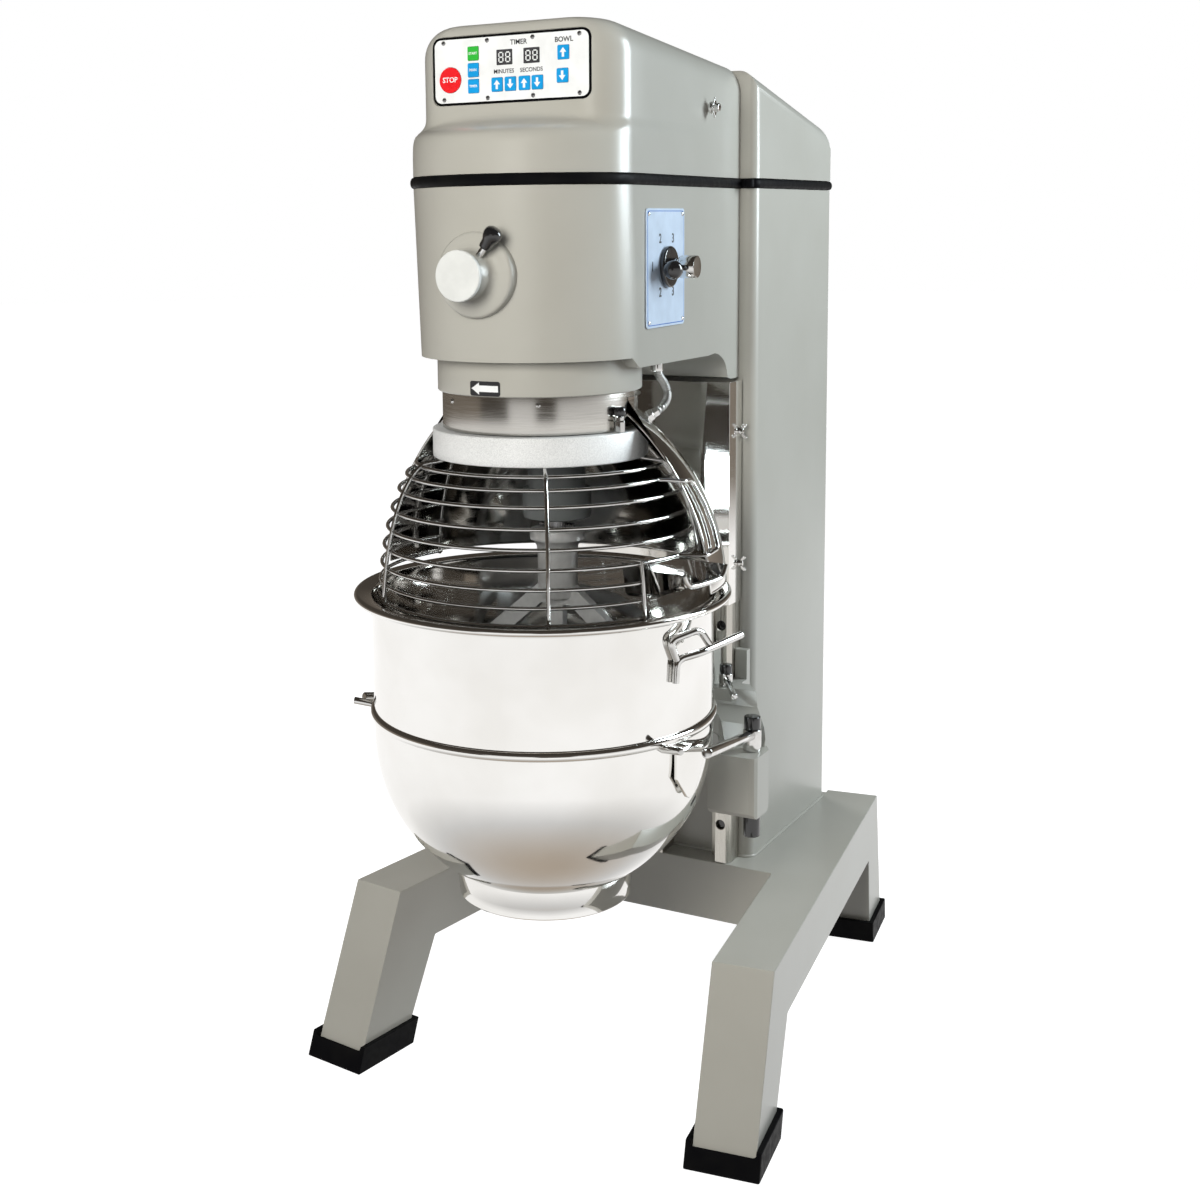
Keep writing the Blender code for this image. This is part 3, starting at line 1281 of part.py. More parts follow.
def make_clamps():
    """Swing clamps: a capped hub on a pin, with a round lever."""
    for side, name, tip in (
        (1, "clamp_lever_right", (0.2877, -0.0390, 0.6012)),
        (-1, "clamp_lever_left", (0.3500, 0.0200, 0.5850)),
    ):
        x, y = CLAMP_AXIS
        x *= side
        pin = cylinder(name, (x, y, CLAMP_PIN_LOW), (x, y, ARM_LOW - GAP), 0.0135, 20)
        shank = cylinder("shank", (x, y, ARM_LOW - 0.020), (x, y, ARM_HIGH + 0.010), 0.0110, 16)
        hub = cylinder("hub", (x, y, ARM_HIGH + GAP), (x, y, CLAMP_HUB_TOP), 0.0145, 20)
        cap = cylinder("cap", (x, y, CLAMP_HUB_TOP - 0.002), (x, y, CLAMP_CAP_TOP), 0.0132, 20)
        lever_end = (side * tip[0], tip[1], tip[2])
        lever = cylinder("lever", (x, y, CLAMP_HUB_TOP - 0.010), lever_end, CLAMP_LEVER_RADIUS, 14)
        union(pin, shank, hub, cap, lever)
        place(pin, "chrome", (x, y, 0))
    x, y = REAR_CLAMP_AXIS
    pin = cylinder("rear_clamp_lever", (x, y, 0.5660), (x, y, 0.6000), 0.0058, 12)
    hub = cylinder("hub", (x, y, 0.5905), (x, y, 0.6120), 0.0115, 16)
    cap = cylinder("cap", (x, y, 0.6100), (x, y, 0.6270), 0.0100, 16)
    lever = cylinder("lever", (x, y, 0.6035), (0.2110, 0.2490, 0.6005), 0.0055, 12)
    union(pin, hub, cap, lever)
    place(pin, "chrome", (x, y, 0))


# ---------------------------------------------------------------- assembly
def build():
    clear_scene()
    axis = bpy.data.objects.new("mixing_axis", None)
    bpy.context.scene.collection.objects.link(axis)
    axis.location = (0.0, AXIS_Y, 0.0)
    make_base()
    make_feet()
    make_column()
    make_column_cover()
    make_housing()
    make_head_cover()
    make_seam_trim()
    make_cover_latches()
    make_band_and_ring()
    make_planetary()
    make_agitator()
    make_drive()
    make_hub_plug()
    make_selector()
    make_control_panel()
    make_bowl()
    make_handles()
    make_cage()
    make_chute()
    make_shield()
    make_guard_latch()
    make_conduit()
    make_rails()
    make_splash_panel()
    make_yoke()
    make_clamps()


build()
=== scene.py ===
"""Studio scene of a floor-standing planetary mixer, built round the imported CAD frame.

Pieces are modelled around the mixing axis, the vertical line shared by the bowl and the planetary head,
with the front at -Y and the floor at Z = 0. mount moves each one from there into the frame.
"""

import json
from math import cos, pi, radians, sin, sqrt, tan

import bmesh
import bpy
from mathutils import Matrix, Vector


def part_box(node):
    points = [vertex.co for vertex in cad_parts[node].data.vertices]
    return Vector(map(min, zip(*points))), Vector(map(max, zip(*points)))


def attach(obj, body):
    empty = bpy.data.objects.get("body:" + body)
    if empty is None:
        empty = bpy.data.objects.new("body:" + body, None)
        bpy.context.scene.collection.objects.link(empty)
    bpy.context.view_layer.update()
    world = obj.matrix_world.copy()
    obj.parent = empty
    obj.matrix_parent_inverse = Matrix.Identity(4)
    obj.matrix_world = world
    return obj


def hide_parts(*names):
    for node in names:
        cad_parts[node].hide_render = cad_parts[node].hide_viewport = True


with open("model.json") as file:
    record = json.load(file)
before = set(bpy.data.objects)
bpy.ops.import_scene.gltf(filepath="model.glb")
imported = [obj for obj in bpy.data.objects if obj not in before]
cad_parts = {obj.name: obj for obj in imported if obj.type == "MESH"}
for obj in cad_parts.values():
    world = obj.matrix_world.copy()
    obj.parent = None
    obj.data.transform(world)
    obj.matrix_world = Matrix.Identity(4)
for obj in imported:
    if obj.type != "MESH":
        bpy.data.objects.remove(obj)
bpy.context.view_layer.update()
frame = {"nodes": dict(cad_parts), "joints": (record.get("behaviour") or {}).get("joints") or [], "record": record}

# ---------------------------------------------------------------- places read from the frame
JOINTS = {joint["name"]: joint for joint in frame["joints"]}
AXIS = Vector((JOINTS["planetary_spin"]["pos_m"][0], JOINTS["planetary_spin"]["pos_m"][1], 0.0))
PLANET = Vector(JOINTS["beater_spin"]["pos_m"]) - AXIS
SELECTOR = Vector(JOINTS["speed_select"]["pos_m"]) - AXIS
WALL_OUT = Vector(JOINTS["speed_select"]["axis"]).normalized()
WALL_BACK = Vector((-WALL_OUT.y, WALL_OUT.x, 0.0))
THUMB_OUT = Vector(JOINTS["hub_screw_turn"]["axis"]).normalized()
UP = Vector((0.0, 0.0, 1.0))
FRONT_TURN = Matrix.Rotation(radians(90), 4, "X")
WALL_TURN = Matrix((WALL_BACK, UP, WALL_OUT)).transposed().to_4x4()
SLOTS = {part["node"]: part["material_slot"] for part in frame["record"]["subparts"]}

# ---------------------------------------------------------------- driving dimensions, in metres
SIDES = ((1, "right"), (-1, "left"))
SEAM_LOW = 1.407
SEAM_HIGH = 1.423
DRUM_RADIUS = 0.182
DRUM_DRAFT = 0.009
DRUM_FLOOR = 1.163
NECK_UNDERSIDE = 1.146
NECK_HALF_WIDTH = 0.148
NECK_FOOT = 1.098
COLLAR_RADIUS = 0.152
COLLAR_LOW = 1.112
HOOD_FRONT = -0.08
HOOD_HALF_WIDTH = 0.166
HOOD_CORNER = 0.056
HOOD_TOP = 1.6395
HOOD_SLOPE = 0.0717
HOOD_SHOULDER = 0.045
PANEL_HALF_WIDTH = 0.1255
PANEL_LOW = 1.5285
PANEL_HIGH = 1.618
PANEL_FACE = -0.0765
HUB_Z = 1.285
HUB_RADIUS = 0.0355
HUB_FACE = -0.229
HUB_CAP_THICKNESS = 0.0078
KEY_GAP = 0.0004
PRINT_THICKNESS = 0.00008
PRINT_STAND = 0.0001
LETTER_WEIGHT = 0.018
PLATE = (-0.0775, 0.0715, -0.087, 0.085)
COLUMN_HALF_WIDTH = 0.175
COLUMN_FRONT = 0.4145
COLUMN_REAR = 0.786
COLUMN_CORNER = 0.019
COLUMN_SHEET = 0.004
HEAD_REAR = COLUMN_FRONT - 0.0003
BAND_RADIUS = 0.1455
BAND_LOW = 1.0575
RING_RADIUS = 0.161
RING_WALL = 0.0225
RING_LOW = 1.0136
RING_HIGH = 1.056
BOWL_RIM_RADIUS = 0.285
BOWL_RIM_TOP = 0.811
BOWL_RADIUS = 0.2586
BOWL_WALL = 0.0028
BOWL_BAND_Z = 0.625
BOWL_ROUND_TOP = 0.6
BOWL_FOOT_RADIUS = 0.1334
BOWL_FOOT_HIGH = 0.352
BOWL_FOOT_LOW = 0.3325
CAGE_LEVELS = (1.0045, 0.988, 0.966, 0.9375, 0.91, 0.8825, 0.856, 0.831)
CAGE_RADIUS = 0.2445
CAGE_WIRE = 0.0029
CAGE_FROM = radians(-109)
CAGE_TO = radians(101)
CHUTE_FROM = radians(64)
SHIELD_RADIUS = 0.277
SHIELD_LOW = 0.826
SHIELD_RISE = 0.3127
SHIELD_TOP = 1.1
SHIELD_SHEET = 0.0022
SHIELD_HEM = 0.0021
CONDUIT_RADIUS = 0.0055
CONDUIT_RIB = 0.001
CONDUIT_PITCH = 0.0048
BEATER_LOW = 0.376
BEATER_MIDDLE = 0.56
BEATER_HALF_WIDTH = 0.168
BEATER_BAR = 0.024
# across and back of the rail holes, where black discs of painted shade sit
RAIL_HOLE_SHADE = (0.136, 0.3835)
LIFT_SCREW = (0.0, 0.39)
LIFT_THREAD_RADIUS = 0.0134
BEAM_CORNER = (0.2775, 0.006)
BEAM_SPLAY = radians(7.5)
BEAM_LENGTH = 0.815
BEAM_WIDTH = 0.095
BASE_TOP = 0.267
BASE_UNDERSIDE = 0.163
LEG_BOTTOM = 0.013
CROSS_FRONT = 0.368
CROSS_REAR = 0.8

# ---------------------------------------------------------------- camera and light
CAMERA_PLACE = (1.2137, -2.1806, 1.3533)
CAMERA_AZIMUTH = radians(30.12)
CAMERA_PITCH = radians(8.109)
CAMERA_ROLL = radians(-0.79)
CAMERA_LENS = 50.35
CAMERA_SHIFT = (0.074, -0.1134)
WARM = (1.0, 0.985, 0.93)
COOL = (0.85, 0.95, 1.0)
WHITE = (1.0, 1.0, 1.0)
# softboxes: name, place, target, width and height, watts, colour, whether glossy surfaces show it
LAMPS = (
    ("key", (0.4, -3.2, 2.1), (0.0, 0.0, 2.2), (1.2, 1.6), 104, WARM, False),
    ("side", (2.1, 1.3, 2.1), (0.2, 0.2, 2.2), (1.0, 1.6), 92, COOL, True),
    ("fill", (-2.8, -1.6, 1.5), (0.0, 0.0, 0.9), (0.7, 2.4), 12, WHITE, False),
    ("rear", (-2.4, 2.2, 1.7), (-0.1, 0.3, 1.5), (1.2, 1.8), 60, (1.0, 1.0, 0.99), False),
)
FLOOR_RADIUS = 30.0
FLOOR_GLOW = 0.97
AMBIENT = 0.19
# what polished metal mirrors: brightness by height, by heading near the horizon, and the horizon's share
SKY = ((0.0, 0.45), (0.12, 0.66), (0.23, 1.04), (0.42, 1.1), (0.53, 0.12), (0.62, 0.06), (1.0, 0.04))
WALLS = (
    (0.0, 0.22), (0.12, 0.26), (0.135, 0.07), (0.22, 0.07), (0.235, 0.88), (0.31, 0.88), (0.325, 0.07),
    (0.375, 0.07), (0.39, 0.8), (0.62, 0.85), (0.66, 0.25), (0.8, 0.1), (1.0, 0.22)
)
HORIZON = ((0.0, 0.0), (0.405, 0.0), (0.425, 1.0), (0.515, 1.0), (0.545, 0.0))


# ---------------------------------------------------------------- shape helpers
def link(name, data):
    obj = bpy.data.objects.new(name, data)
    bpy.context.scene.collection.objects.link(obj)
    return obj


def mesh_from(name, points, faces):
    mesh = bpy.data.meshes.new(name)
    mesh.from_pydata([tuple(p) for p in points], [], faces)
    work = bmesh.new()
    work.from_mesh(mesh)
    bmesh.ops.remove_doubles(work, verts=work.verts, dist=1e-6)
    bmesh.ops.recalc_face_normals(work, faces=work.faces)
    work.to_mesh(mesh)
    work.free()
    return link(name, mesh)


def loft(name, sections, closed=False):
    """A solid through loops of equal length; closed joins the last loop to the first instead of capping."""
    count = len(sections[0])
    points = [p for section in sections for p in section]
    faces = []
    levels = len(sections)
    for level in range(levels if closed else levels - 1):
        base = level * count
        after = (level + 1) % levels * count
        for i in range(count):
            j = (i + 1) % count
            faces.append((base + i, base + j, after + j, after + i))
    if not closed:
        faces.append(tuple(reversed(range(count))))
        faces.append(tuple(range(len(points) - count, len(points))))
    return mesh_from(name, points, faces)


def prism(name, outline, low, high):
    return loft(name, [[(x, y, z) for x, y in outline] for z in (low, high)])


def side_prism(name, outline, low, high):
    return loft(name, [[(x, y, z) for y, z in outline] for x in (low, high)])


def box(name, low, high):
    corners = ((low[0], low[1]), (high[0], low[1]), (high[0], high[1]), (low[0], high[1]))
    return prism(name, corners, low[2], high[2])


def circle(radius, count):
    steps = [2 * pi * i / count for i in range(count)]
    return [(radius * cos(a), radius * sin(a)) for a in steps]


def turned(name, profile, count=96, start=(0.0, 0.0, 0.0), axis=UP):
    """A closed outline of (radius, height) points turned about an axis through start."""
    turn = UP.rotation_difference(Vector(axis)).to_matrix()
    start = Vector(start)
    sections = []
    for i in range(count):
        a = 2 * pi * i / count
        sections.append([start + turn @ Vector((r * cos(a), r * sin(a), z)) for r, z in profile])
    return loft(name, sections, closed=True)


def corner(x, y, radius, start, end, steps, rise=None, first=0):
    """Points of an arc about (x, y), angles in degrees; rise is its radius along the second coordinate."""
    rise = radius if rise is None else rise
    angles = [radians(start + (end - start) * k / steps) for k in range(first, steps + 1)]
    return [(x + radius * cos(a), y + rise * sin(a)) for a in angles]


def straight(start, end):
    """Eight points of a line, without its start."""
    shares = [k / 8 for k in range(1, 9)]
    return [(start[0] + (end[0] - start[0]) * t, start[1] + (end[1] - start[1]) * t) for t in shares]


def mirrored(half):
    """A half outline that starts on the middle plane, with its other half."""
    return half + [(-x, y) for x, y in reversed(half[1:])]


def rounded_disc(radius, low, high, edge, bore=0.0, steps=4):
    """Profile of a disc or ring with rounded outer edges, for turned."""
    profile = [(bore, low)]
    for level, sign, first in ((low, 1, -90), (high, -1, 0)):
        profile += corner(radius - edge, level + sign * edge, edge, first, first + 90, steps)
    profile.append((bore, high))
    return profile


def cylinder(name, start, end, radius, count, edge=0.0):
    span = Vector(end) - Vector(start)
    profile = [(0.0, 0.0), (radius, 0.0), (radius, span.length), (0.0, span.length)]
    if edge:
        profile = rounded_disc(radius, 0.0, span.length, edge)
    return turned(name, profile, count, start, span)


def combine(operation, first, *others):
    for other in others:
        modifier = first.modifiers.new(operation.lower(), "BOOLEAN")
        modifier.operation = operation
        modifier.solver = "EXACT"
        modifier.object = other
        graph = bpy.context.evaluated_depsgraph_get()
        mesh = bpy.data.meshes.new_from_object(first.evaluated_get(graph))
        first.modifiers.clear()
        first.data = mesh
        bpy.data.objects.remove(other, do_unlink=True)
    return first


def union(first, *others):
    return combine("UNION", first, *others)


def cut(first, *others):
    return combine("DIFFERENCE", first, *others)


def common(first, *others):
    return combine("INTERSECT", first, *others)


def join(first, *others):
    """Several shells in one object, without a Boolean."""
    work = bmesh.new()
    work.from_mesh(first.data)
    for other in others:
        work.from_mesh(other.data)
        bpy.data.objects.remove(other, do_unlink=True)
    work.to_mesh(first.data)
    work.free()
    return first


def curve_wires(name, paths, radius, cyclic=False, sides=5):
    """Round wires along lists of points, all in one curve object."""
    data = bpy.data.curves.new(name, "CURVE")
    data.dimensions = "3D"
    data.bevel_depth = radius
    data.bevel_resolution = sides
    data.use_fill_caps = True
    for path in paths:
        spline = data.splines.new("POLY")
        spline.points.add(len(path) - 1)
        spline.use_cyclic_u = cyclic
        for point, place in zip(spline.points, path):
            point.co = (*place, 1.0)
        spline.use_smooth = True
    return link(name, data)


def rounded_path(corners, radius, steps=8):
    """A path through corners, each rounded off over a reach no longer than the radius."""
    corners = [Vector(c) for c in corners]
    path = [corners[0]]
    for before, bend, after in zip(corners, corners[1:], corners[2:]):
        reach = min(radius, (bend - before).length * 0.49, (after - bend).length * 0.49)
        start = bend + (before - bend).normalized() * reach
        end = bend + (after - bend).normalized() * reach
        for k in range(steps + 1):
            t = k / steps
            path.append(start * (1 - t) ** 2 + bend * 2 * t * (1 - t) + end * t**2)
    path.append(corners[-1])
    return path


def compass(radius, azimuth, z):
    """A point around the mixing axis; azimuth 0 is the front and grows towards +X."""
    return Vector((radius * sin(azimuth), -radius * cos(azimuth), z))


def arc(radius, start, end, z):
    count = max(2, round(abs(end - start) / radians(2.5)))
    return [compass(radius, start + (end - start) * k / count, z) for k in range(count + 1)]


def rounded_rectangle(left, right, low, high, radius, steps=6):
    outline = []
    corners = (
        (right - radius, low + radius, -90), (right - radius, high - radius, 0),
        (left + radius, high - radius, 90), (left + radius, low + radius, 180))
    for x, y, start in corners:
        outline += corner(x, y, radius, start, start + 90, steps)
    return outline


def front_plate(name, outline, front, back):
    """An outline of (x, z) points, extended along Y."""
    return loft(name, [[(x, y, z) for x, z in outline] for y in (front, back)])


def soften(obj, width, segments):
    """Rounds the hard edges of an object."""
    modifier = obj.modifiers.new("rounded_edges", "BEVEL")
    modifier.width = width
    modifier.segments = segments
    modifier.limit_method = "ANGLE"
    modifier.angle_limit = radians(32)
    modifier.miter_outer = "MITER_ARC"
    weighted = obj.modifiers.new("even_shading", "WEIGHTED_NORMAL")
    weighted.keep_sharp = True
    weighted.weight = 60
    return obj


def mount(obj, look, body, *nodes, slot=None, soft=0.0, angle=40, segments=3):
    """Moves a finished piece into the frame and gives it its look and its body.

    The slot argument is not used. The piece stands for the CAD nodes that it is given,
    and hides them.
    """
    obj.data.transform(Matrix.Translation(AXIS))
    obj.data.materials.clear()
    obj.data.materials.append(LOOKS[look])
    if obj.type == "MESH":
        obj.data.shade_smooth()
        if soft:
            soften(obj, soft, segments)
        else:
            obj.data.set_sharp_from_angle(angle=radians(angle))
    if nodes:
        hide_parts(*nodes)
    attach(obj, body)
    return obj


# ---------------------------------------------------------------- materials
NOISE_LOW = 0.35
NOISE_HIGH = 0.65


def new_node(tree, kind, **inputs):
    """A shader node; inputs are set by name, with _ for a space."""
    made = tree.nodes.new("ShaderNode" + kind)
    for name, value in inputs.items():
        made.inputs[name.replace("_", " ")].default_value = value
    return made


class Look:
    """A node material under construction."""

    def __init__(self, name, colour, roughness, metallic=0.0):
        self.material = bpy.data.materials.new(name)
        self.material.use_nodes = True
        self.tree = self.material.node_tree
        self.shader = self.tree.nodes["Principled BSDF"]
        self.shader.inputs["Base Color"].default_value = (*colour, 1.0)
        self.shader.inputs["Roughness"].default_value = roughness
        self.shader.inputs["Metallic"].default_value = metallic
        self.place = self.tree.nodes.new("ShaderNodeTexCoord").outputs["Object"]

    def node(self, kind, **inputs):
        return new_node(self.tree, kind, **inputs)

    def join(self, start, end):
        self.tree.links.new(start, end)

    def noise(self, scale, detail=3.0, stretch=None):
        """A noise texture in object space, in features per metre; stretch scales it along each axis."""
        place = self.place
        if stretch:
            mapping = self.node("Mapping", Scale=stretch)
            self.join(place, mapping.inputs["Vector"])
            place = mapping.outputs["Vector"]
        texture = self.node("TexNoise", Scale=scale, Detail=detail)
        self.join(place, texture.inputs["Vector"])
        return texture.outputs["Fac"]

    def vary_roughness(self, source, low, high):
        ramp = self.node("MapRange", From_Min=NOISE_LOW, From_Max=NOISE_HIGH, To_Min=low, To_Max=high)
        self.join(source, ramp.inputs["Value"])
        self.join(ramp.outputs["Result"], self.shader.inputs["Roughness"])

    def vary_colour(self, source, first, second):
        ramp = self.node("ValToRGB")
        for element, position, colour in zip(
            ramp.color_ramp.elements, (NOISE_LOW, NOISE_HIGH), (first, second)
        ):
            element.position = position
            element.color = (*colour, 1.0)
        self.join(source, ramp.inputs["Fac"])
        self.join(ramp.outputs["Color"], self.shader.inputs["Base Color"])

    def bump(self, source, distance, strength):
        bump = self.node("Bump", Distance=distance, Strength=strength)
        self.join(source, bump.inputs["Height"])
        self.join(bump.outputs["Normal"], self.shader.inputs["Normal"])

    def coat(self, weight, roughness):
        self.shader.inputs["Coat Weight"].default_value = weight
        self.shader.inputs["Coat Roughness"].default_value = roughness


def paint_look():
    """Warm grey enamel with a fine orange peel and faint mottling."""
    look = Look("grey_enamel", (0.4, 0.391, 0.354), 0.32)
    look.vary_colour(look.noise(7.0, 4.0), (0.39, 0.38, 0.343), (0.408, 0.399, 0.363))
    look.bump(look.noise(14.0, 1.0), 0.0006, 0.08)
    look.coat(0.28, 0.24)
    return look.material


def polished_look():
    """Mirror polished stainless steel with the faintest turning marks."""
    look = Look("polished_stainless", (0.86, 0.85, 0.83), 0.07, 1.0)
    look.vary_colour(look.noise(6.0), (0.8, 0.79, 0.765), (0.88, 0.875, 0.86))
    look.vary_roughness(look.noise(40.0, 4.0, (1.0, 1.0, 14.0)), 0.045, 0.1)
    look.bump(look.noise(5.0, 1.0), 0.002, 0.06)
    return look.material


def brushed_look(name, colour, low, high, stretch, bump=0.00008):
    look = Look(name, colour, low, 1.0)
    dark = tuple(c * 0.88 for c in colour)
    grain = look.noise(300.0, 3.0, stretch)
    look.vary_colour(grain, dark, colour)
    look.vary_roughness(grain, low, high)
    look.bump(grain, bump, 0.5)
    return look.material


def speckled_look():
    """Silver hammered enamel on the cast guard ring."""
    look = Look("silver_enamel", (0.86, 0.87, 0.87), 0.42, 0.3)
    look.vary_colour(look.noise(700.0, 2.0), (0.74, 0.75, 0.755), (0.94, 0.95, 0.95))
    look.vary_roughness(look.noise(500.0), 0.34, 0.52)
    look.bump(look.noise(650.0, 2.0), 0.00012, 0.5)
    return look.material


def cast_look():
    """Satin cast aluminium with a fine sandy skin."""
    look = Look("cast_aluminium", (0.66, 0.665, 0.665), 0.36, 0.6)
    look.vary_colour(look.noise(45.0, 4.0), (0.6, 0.605, 0.605), (0.74, 0.745, 0.745))
    look.vary_roughness(look.noise(120.0), 0.28, 0.46)
    look.bump(look.noise(520.0, 3.0), 0.00018, 0.5)
    return look.material


def chrome_look():
    look = Look("plated_steel", (0.7, 0.7, 0.69), 0.1, 1.0)
    look.vary_colour(look.noise(30.0), (0.64, 0.635, 0.62), (0.74, 0.74, 0.73))
    look.vary_roughness(look.noise(90.0, 4.0), 0.07, 0.16)
    look.bump(look.noise(220.0), 0.00005, 0.3)
    return look.material


def rubber_look():
    look = Look("black_rubber", (0.004, 0.004, 0.005), 0.5)
    look.vary_colour(look.noise(18.0, 4.0), (0.003, 0.003, 0.004), (0.006, 0.006, 0.006))
    look.vary_roughness(look.noise(90.0), 0.42, 0.56)
    look.bump(look.noise(700.0, 2.0), 0.0001, 0.4)
    look.shader.inputs["Specular IOR Level"].default_value = 0.05
    return look.material


def plastic_look(name, colour, low, high, coat=0.0):
    look = Look(name, colour, low)
    dark = tuple(c * 0.9 for c in colour)
    look.vary_colour(look.noise(35.0), dark, colour)
    look.vary_roughness(look.noise(120.0), low, high)
    look.bump(look.noise(500.0), 0.00004, 0.4)
    if coat:
        look.coat(coat, 0.08)
    return look.material


def satin_steel_look():
    """Galvanised steel strip, dull grey, for the armoured cable."""
    look = Look("galvanised_strip", (0.46, 0.46, 0.45), 0.36, 1.0)
    look.vary_colour(look.noise(60.0), (0.38, 0.38, 0.37), (0.5, 0.5, 0.49))
    look.vary_roughness(look.noise(140.0), 0.3, 0.44)
    return look.material


BAND_STEEL = (0.6, 0.585, 0.55)
LOOKS = {
    "body_paint": paint_look(),
    "polished_steel": polished_look(),
    "brushed_steel": brushed_look("brushed_band", BAND_STEEL, 0.16, 0.24, (0.06, 0.06, 3.0), 0.00002),
    "satin_aluminium": cast_look(),
    "speckled": speckled_look(),
    "chrome": chrome_look(),
    "rubber": rubber_look(),
    "black_plastic": plastic_look("black_phenolic", (0.01, 0.01, 0.011), 0.1, 0.22, 0.6),
    "white_plastic": plastic_look("white_cap", (0.7, 0.71, 0.7), 0.28, 0.4),
    "panel_white": plastic_look("panel_overlay", (0.8, 0.81, 0.82), 0.3, 0.42),
    "plate_field": plastic_look("plate_field", (0.54, 0.64, 0.78), 0.3, 0.42),
    "key_blue": plastic_look("key_blue", (0.005, 0.3, 0.68), 0.3, 0.42),
    "key_green": plastic_look("key_green", (0.03, 0.42, 0.04), 0.3, 0.42),
    "key_red": plastic_look("key_red", (0.78, 0.015, 0.02), 0.22, 0.34),
    "print_white": plastic_look("print_white", (0.85, 0.86, 0.87), 0.3, 0.42),
    "print_black": plastic_look("print_black", (0.02, 0.02, 0.022), 0.3, 0.45),
    "print_blue": plastic_look("print_blue", (0.02, 0.14, 0.5), 0.3, 0.45),
    "display": plastic_look("display_window", (0.055, 0.055, 0.06), 0.08, 0.16, 0.5),
    "segment": plastic_look("display_segment", (0.8, 0.82, 0.82), 0.3, 0.4),
    "conduit": satin_steel_look(),
    "gear_steel": brushed_look("machined_steel", (0.45, 0.45, 0.46), 0.22, 0.38, (1.0, 1.0, 0.2)),
    "slide_steel": brushed_look("ground_steel", (0.6, 0.58, 0.53), 0.24, 0.4, (3.0, 3.0, 0.05)),
    "motor_grey": plastic_look("machine_enamel", (0.14, 0.15, 0.15), 0.35, 0.5),
}


# ---------------------------------------------------------------- camera, floor and light
def make_camera():
    level = Vector((-sin(CAMERA_AZIMUTH), cos(CAMERA_AZIMUTH), 0.0))
    look = level * cos(CAMERA_PITCH) - UP * sin(CAMERA_PITCH)
    right = Vector((cos(CAMERA_AZIMUTH), sin(CAMERA_AZIMUTH), 0.0))
    up = right.cross(look)
    rolled_right = right * cos(CAMERA_ROLL) + up * sin(CAMERA_ROLL)
    rolled_up = up * cos(CAMERA_ROLL) - right * sin(CAMERA_ROLL)
    data = bpy.data.cameras.new("camera")
    data.sensor_width = 36.0
    data.lens = CAMERA_LENS
    data.shift_x, data.shift_y = CAMERA_SHIFT
    camera = link("camera", data)
    rows = Matrix((rolled_right, rolled_up, -look)).transposed().to_4x4()
    camera.matrix_world = Matrix.Translation(Vector(CAMERA_PLACE) + AXIS) @ rows
    bpy.context.scene.camera = camera


def make_floor():
    """A pale sheet that glows, so that it melts into the backdrop."""
    rim = circle(FLOOR_RADIUS, 96)
    floor = mesh_from("floor", [(x, y, 0.0) for x, y in rim], [tuple(range(len(rim)))])
    look = Look("pale_floor", (0.3, 0.3, 0.3), 0.7)
    look.vary_colour(look.noise(1.2), (0.29, 0.29, 0.29), (0.31, 0.31, 0.31))
    look.shader.inputs["Emission Color"].default_value = (1.0, 1.0, 1.0, 1.0)
    look.shader.inputs["Emission Strength"].default_value = FLOOR_GLOW
    floor.data.materials.append(look.material)
    floor.visible_diffuse = False
    floor.visible_glossy = False


def softbox(name, place, target, size, power, colour, in_gloss):
    data = bpy.data.lights.new(name, "AREA")
    data.shape = "RECTANGLE"
    data.size = size[0]
    data.size_y = size[1]
    data.energy = power
    data.color = colour
    lamp = link(name, data)
    lamp.location = place
    lamp.rotation_euler = (Vector(target) - Vector(place)).to_track_quat("-Z", "Y").to_euler()
    lamp.visible_glossy = in_gloss


def filled_ramp(tree, stops):
    """A grey ramp through (position, level) stops, a little warmer where it is dark."""
    ramp = new_node(tree, "ValToRGB")
    while len(ramp.color_ramp.elements) < len(stops):
        ramp.color_ramp.elements.new(0.5)
    for element, (position, level) in zip(ramp.color_ramp.elements, stops):
        element.position = position
        warmth = 0.02 if level > 0.5 else 0.3
        element.color = (level, level * (1 - warmth / 2), level * (1 - warmth), 1.0)
    return ramp


